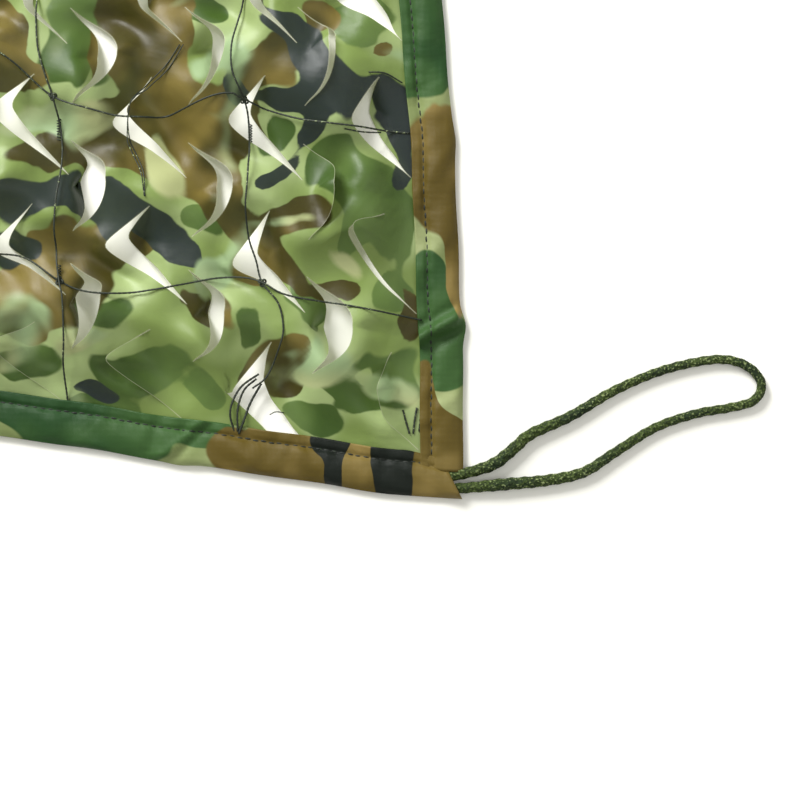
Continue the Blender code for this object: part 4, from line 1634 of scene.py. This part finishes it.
@dataclass
class CarryingMesh:
    """The knotted mesh of thin cords that carries the cloth."""

    garnish: bpy.types.Object
    finish: bpy.types.Material
    seed: int = 23
    width: float = 0.85
    pitch: float = 4.0
    ring: float = 0.8
    sides: int = 8
    knot_drift: float = 4.0
    sag: float = 7.0
    ends: dict = field(default_factory=lambda: {"across": (271.0, -269.0), "up": (-250.0, 254.0)})
    whippings: tuple = ((132.9, -206.5, 7.0), (211.4, -150.5, 14.0), (131.5, -146.0, 9.0))

    def build(self) -> bpy.types.Object:
        """Make all of the cords, their knots and their whippings as one piece.

        Returns:
            The mesh of cords.
        """
        self.tree = BVHTree.FromObject(self.garnish, bpy.context.evaluated_depsgraph_get())
        self.rng = np.random.default_rng(self.seed)
        self.bm = bmesh.new()
        knots = self._knots()
        for row in range(len(KNOTS_UP)):
            self._run([knots[(column, row)] for column in range(len(KNOTS_ACROSS))], ("across", row))
        for column in range(len(KNOTS_ACROSS)):
            self._run([knots[(column, row)] for row in range(len(KNOTS_UP))], ("up", column))
        for strand in SHOWN_TAILS:
            self._lay(np.array(strand.stops, dtype=float), strand.width)
        for x, y in knots.values():
            self._knot(x, y)
        for x, y, length in self.whippings:
            self._whipping(x, y, length)
        obj = add_object("carrying_mesh", mesh_from(self.bm, "carrying_mesh"), self.finish)
        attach(obj, "root")
        return obj

    def _knots(self) -> dict:
        """Where the knots are.

        Returns:
            Each knot's place, by its column and row.
        """
        knots = {}
        for column, x in enumerate(KNOTS_ACROSS):
            for row, y in enumerate(KNOTS_UP):
                drift = self.rng.uniform(-self.knot_drift, self.knot_drift, 2)
                knots[(column, row)] = SHOWN_KNOTS.get((column, row), (x + drift[0], y + drift[1]))
        return knots

    def _run(self, stops: list, run: tuple) -> None:
        """Lay a cord through knots from one binding to the other.

        Args:
            stops: the knots it passes, from the first column or row.
            run: its direction and its number.
        """
        way, _ = run
        axis = 0 if way == "across" else 1
        shown = SHOWN_RUNS.get(run, ())
        points = [np.array(stop, dtype=float) for stop in shown]
        bare = [np.array(stop) for stop in stops if not shown or self._beyond(stop, shown, axis)]
        path = []
        for near, far in zip(bare, bare[1:]):
            path += [near, 0.5 * (near + far) + self._sag(axis)]
        first, last = bare[0].copy(), bare[-1].copy()
        first[axis], last[axis] = self.ends[way]
        path += [bare[-1], last]
        if shown:
            path = sorted(points, key=lambda point: -point[axis] if axis == 0 else point[axis]) + path
        else:
            path = [first, *path]
        self._lay(np.array(path), self.width)

    @staticmethod
    def _beyond(stop: tuple, shown: tuple, axis: int) -> bool:
        """True for a knot that the run's given points don't reach.

        Args:
            stop: the knot.
            shown: the run's given points.
            axis: 0 for a run across, 1 for one up.

        Returns:
            Whether it is beyond them.
        """
        clear = 10
        if axis == 0:
            return stop[0] < min(point[0] for point in shown) - clear
        return stop[1] > max(point[1] for point in shown) + clear

    def _sag(self, axis: int) -> np.ndarray:
        """How far a cord wanders to one side between two knots."""
        sag = self.rng.uniform(-self.sag, self.sag)
        return np.array([0.0, sag]) if axis == 0 else np.array([sag, 0.0])

    def _heights(self, flat: np.ndarray, clear: float) -> np.ndarray:
        """How high a cord lies over the cloth at each of its points.

        Args:
            flat: the cord's points from above.
            clear: how far over the cloth the cord's middle is.

        Returns:
            The heights in millimetres.
        """
        top, missed, bare_height, span = 0.06, -1.0, 4.0, 6
        found = []
        for x, y in flat * MM:
            hit = self.tree.ray_cast(Vector((x, y, top)), Vector((0, 0, -1)))[0]
            found.append(hit.z / MM if hit is not None else missed)
        found = np.array(found)
        seen = found > missed
        if not seen.any():
            return np.full(len(found), bare_height)
        steps = np.arange(len(found))
        found = np.interp(steps, steps[seen], found[seen])
        padded = np.pad(found, span, mode="edge")
        highest = np.max([padded[shift : shift + len(found)] for shift in range(2 * span + 1)], axis=0)
        kernel = np.hanning(2 * span + 3)[1:-1]
        padded = np.pad(highest, span, mode="edge")
        return np.convolve(padded, kernel / kernel.sum(), mode="valid") + clear

    def _lay(self, stops: np.ndarray, width: float) -> None:
        """Lay a twisted cord over the cloth along a smooth line through the given points.

        Args:
            stops: the points it passes, from above.
            width: how thick it is.
        """
        clear, thinnest, lobe = 0.35, 0.68, 0.34
        flat = smooth_curve(stops, self.ring)
        centres = np.column_stack([flat, self._heights(flat, clear * width)])
        along = np.arange(len(centres))[:, None] * self.ring
        turn = np.linspace(0.0, 2 * np.pi, self.sides + 1)[None, :-1]
        lobes = np.abs(np.cos(turn - 2 * np.pi * along / self.pitch))
        self._add(tube_points(centres, 0.5 * width * (thinnest + lobe * lobes), self.sides))

    def _add(self, points: np.ndarray) -> None:
        """Add a closed tube to the piece.

        Args:
            points: the tube's skin, ring by ring.
        """
        part = mesh_from(grid_mesh(points, round_joint=True, lids=True), "strand")
        self.bm.from_mesh(part)
        bpy.data.meshes.remove(part)

    def _top(self, x: float, y: float) -> float:
        """The height of the cloth at a point."""
        return float(self._heights(np.array([[x, y], [x + 1, y], [x, y + 1]]), 0.0)[0])

    def _knot(self, x: float, y: float) -> None:
        """Tie a small overhand knot.

        Args:
            x, y: the knot's place.
        """
        size, count, sides = 0.55, 44, 6
        crossing, clear, thread = 0.45, 0.5, 0.42
        turn = np.linspace(0.0, 2 * np.pi, count)
        lean = self.rng.uniform(0, np.pi)
        across = size * (np.sin(turn + lean) + 2 * np.sin(2 * turn + lean))
        along = size * (np.cos(turn + lean) - 2 * np.cos(2 * turn + lean))
        over = -crossing * np.sin(3 * turn) + self._top(x, y) + clear
        centres = np.column_stack([x + across, y + along, over])
        self._add(tube_points(centres, np.full((count, sides), thread), sides))

    def _whipping(self, x: float, y: float, length: float) -> None:
        """Wind a thread closely round a cord.

        Args:
            x, y: the whipping's middle.
            length: how far it goes along the cord.
        """
        pitch, rings, sides = 1.1, 12, 6
        wide, high, clear, thread = 0.75, 0.6, 0.5, 0.24
        turns = length / pitch
        turn = np.linspace(0.0, 2 * np.pi * turns, round(turns * rings))
        centres = np.column_stack(
            [
                x + wide * np.cos(turn),
                y + np.linspace(-0.5, 0.5, len(turn)) * length,
                self._top(x, y) + clear + high * np.sin(turn),
            ]
        )
        ahead = np.gradient(centres, axis=0)
        ahead /= np.linalg.norm(ahead, axis=1)[:, None]
        outward = np.column_stack([np.cos(turn), np.zeros(len(turn)), np.sin(turn)])
        binormal = np.cross(ahead, outward)
        angle = np.linspace(0.0, 2 * np.pi, sides + 1)
        ring = outward[:, None, :] * np.cos(angle)[None, :, None]
        ring = ring + binormal[:, None, :] * np.sin(angle)[None, :, None]
        self._add(centres[:, None, :] + thread * ring)


# ---------------------------------------------------------------- studio


@dataclass(frozen=True)
class Studio:
    """A camera looking straight down at the corner, a pale floor and soft light."""

    target: tuple = (0.27396, -0.25884)
    shown: float = 0.336
    lens: float = 85.0
    sky: tuple = (1.0, 0.99, 0.96, 1.0)
    sky_strength: float = 0.52
    lamps: tuple = (
        ("window", (-1.1, 1.6, 1.35), 1.2, 128.0),
        ("fill", (0.9, -0.3, 1.3), 1.1, 4.0),
    )

    def set_camera(self) -> None:
        """Put the camera over the shown corner."""
        data = bpy.data.cameras.new("camera")
        data.lens = self.lens
        camera = bpy.data.objects.new("camera", data)
        camera.location = (*self.target, self.shown * self.lens / data.sensor_width)
        bpy.context.scene.collection.objects.link(camera)
        bpy.context.scene.camera = camera

    def set_light(self) -> None:
        """Light the table softly from the upper left and from all round."""
        scene = bpy.context.scene
        scene.view_settings.view_transform = "Standard"
        world = bpy.data.worlds.new("studio")
        world.use_nodes = True
        background = world.node_tree.nodes["Background"]
        background.inputs["Color"].default_value = self.sky
        background.inputs["Strength"].default_value = self.sky_strength
        scene.world = world
        for name, place, size, power in self.lamps:
            data = bpy.data.lights.new(name, "AREA")
            data.shape, data.size, data.energy = "SQUARE", size, power
            lamp = bpy.data.objects.new(name, data)
            lamp.location = place
            aim = Vector((*self.target, 0.0)) - Vector(place)
            lamp.rotation_euler = aim.to_track_quat("-Z", "Y").to_euler()
            scene.collection.objects.link(lamp)

    def set_floor(self) -> None:
        """Lay the pale surface that the net lies on."""
        bm = bmesh.new()
        bmesh.ops.create_grid(bm, x_segments=1, y_segments=1, size=4.0)
        floor = add_object("floor", mesh_from(bm, "floor"), FloorFinish().make())


RIGHT_CREASES = (
    Crease(-227.5, -0.57, 2.4, 2.8, 2.0),
    Crease(-234, -0.57, 2.8, -2.2),
    Crease(-150, -0.5, 3.5, 0.5, 0.7),
    Crease(-205, 0.2, 6.0, 0.4),
    Crease(-262, -0.7, 3.0, 0.6),
    Crease(-118, 0.3, 4.0, -0.4),
    Crease(-60, 0.6, 3.5, 0.6),
    Crease(20, -0.4, 4.0, 0.7, 0.8),
    Crease(110, 0.5, 3.5, -0.5),
    Crease(190, -0.8, 3.2, 0.7, 0.6),
)
BOTTOM_CREASES = (
    Crease(182, 1.0, 2.6, 1.4, 0.8),
    Crease(171, 0.4, 3.0, -0.8),
    Crease(130, 0.2, 4.0, 0.5),
    Crease(214, 0.5, 3.0, 0.4),
    Crease(237, -0.3, 3.5, -0.5),
    Crease(262, 0.25, 3.0, 0.5),
    Crease(60, -0.6, 3.5, 0.7, 0.6),
    Crease(-25, 0.5, 4.0, -0.6),
    Crease(-120, -0.3, 3.5, 0.8, 0.7),
    Crease(-215, 0.7, 3.2, 0.6),
)


def mirrored(creases: tuple, turn: float) -> tuple:
    """Creases for another side, run the other way and shifted a little."""
    return tuple(Crease(-c.along + turn, -c.slant, c.width, c.depth, c.nick) for c in creases)


def main() -> None:
    """Build the net piece by piece."""
    logging.basicConfig(level=logging.INFO)
    studio = Studio()
    studio.set_camera()
    rope = RopeFinish().make()
    for corner in CORNERS:
        LOG.info("loop: %s", CornerLoop(corner, rope).build().name)
    cloth_finish = ClothFinish("garnish_cloth").make()
    hem_finish = ClothFinish(
        "binding_cloth",
        through=0.05,
        rough=0.36,
        edge_wander=0.5,
        bump_depth=0.0003,
        weave=0.25,
        gloss=0.18,
        soft=0.022,
        shades=HEM_INKS,
    ).make()
    thread = CordFinish("dark_thread", (0.006, 0.010, 0.005), (0.04, 0.06, 0.03), 0.0).make()
    cord = CordFinish("mesh_cord", (0.010, 0.016, 0.007), (0.30, 0.36, 0.18), 0.03).make()
    # The pale patches scattered here are painted highlights too.
    crowd = {Ink.GREEN: 90, Ink.BROWN: 110, Ink.BLACK: 48, Ink.PALE: 40}
    cloth_print_and_highlights = PrintAndHighlightFields(CLOTH_PATCHES, 5, crowd)
    garnish = GarnishCloth(cloth_finish, cloth_print_and_highlights).build()
    LOG.info("cloth: %s", garnish.name)
    crowd = {Ink.GREEN: 160, Ink.BROWN: 150, Ink.BLACK: 60}
    hem_print = PrintAndHighlightFields(BINDING_PATCHES, 9, crowd, drift=0.4)
    creases = {
        Side.BOTTOM: BOTTOM_CREASES,
        Side.RIGHT: RIGHT_CREASES,
        Side.TOP: mirrored(BOTTOM_CREASES, 21.0),
        Side.LEFT: mirrored(RIGHT_CREASES, -17.0),
    }
    for side in Side:
        for piece in Binding(side, hem_finish, thread, hem_print, creases[side]).build():
            LOG.info("binding: %s", piece.name)
    LOG.info("cords: %s", CarryingMesh(garnish, cord).build().name)
    studio.set_floor()
    studio.set_light()


if __name__ == "__main__":
    main()
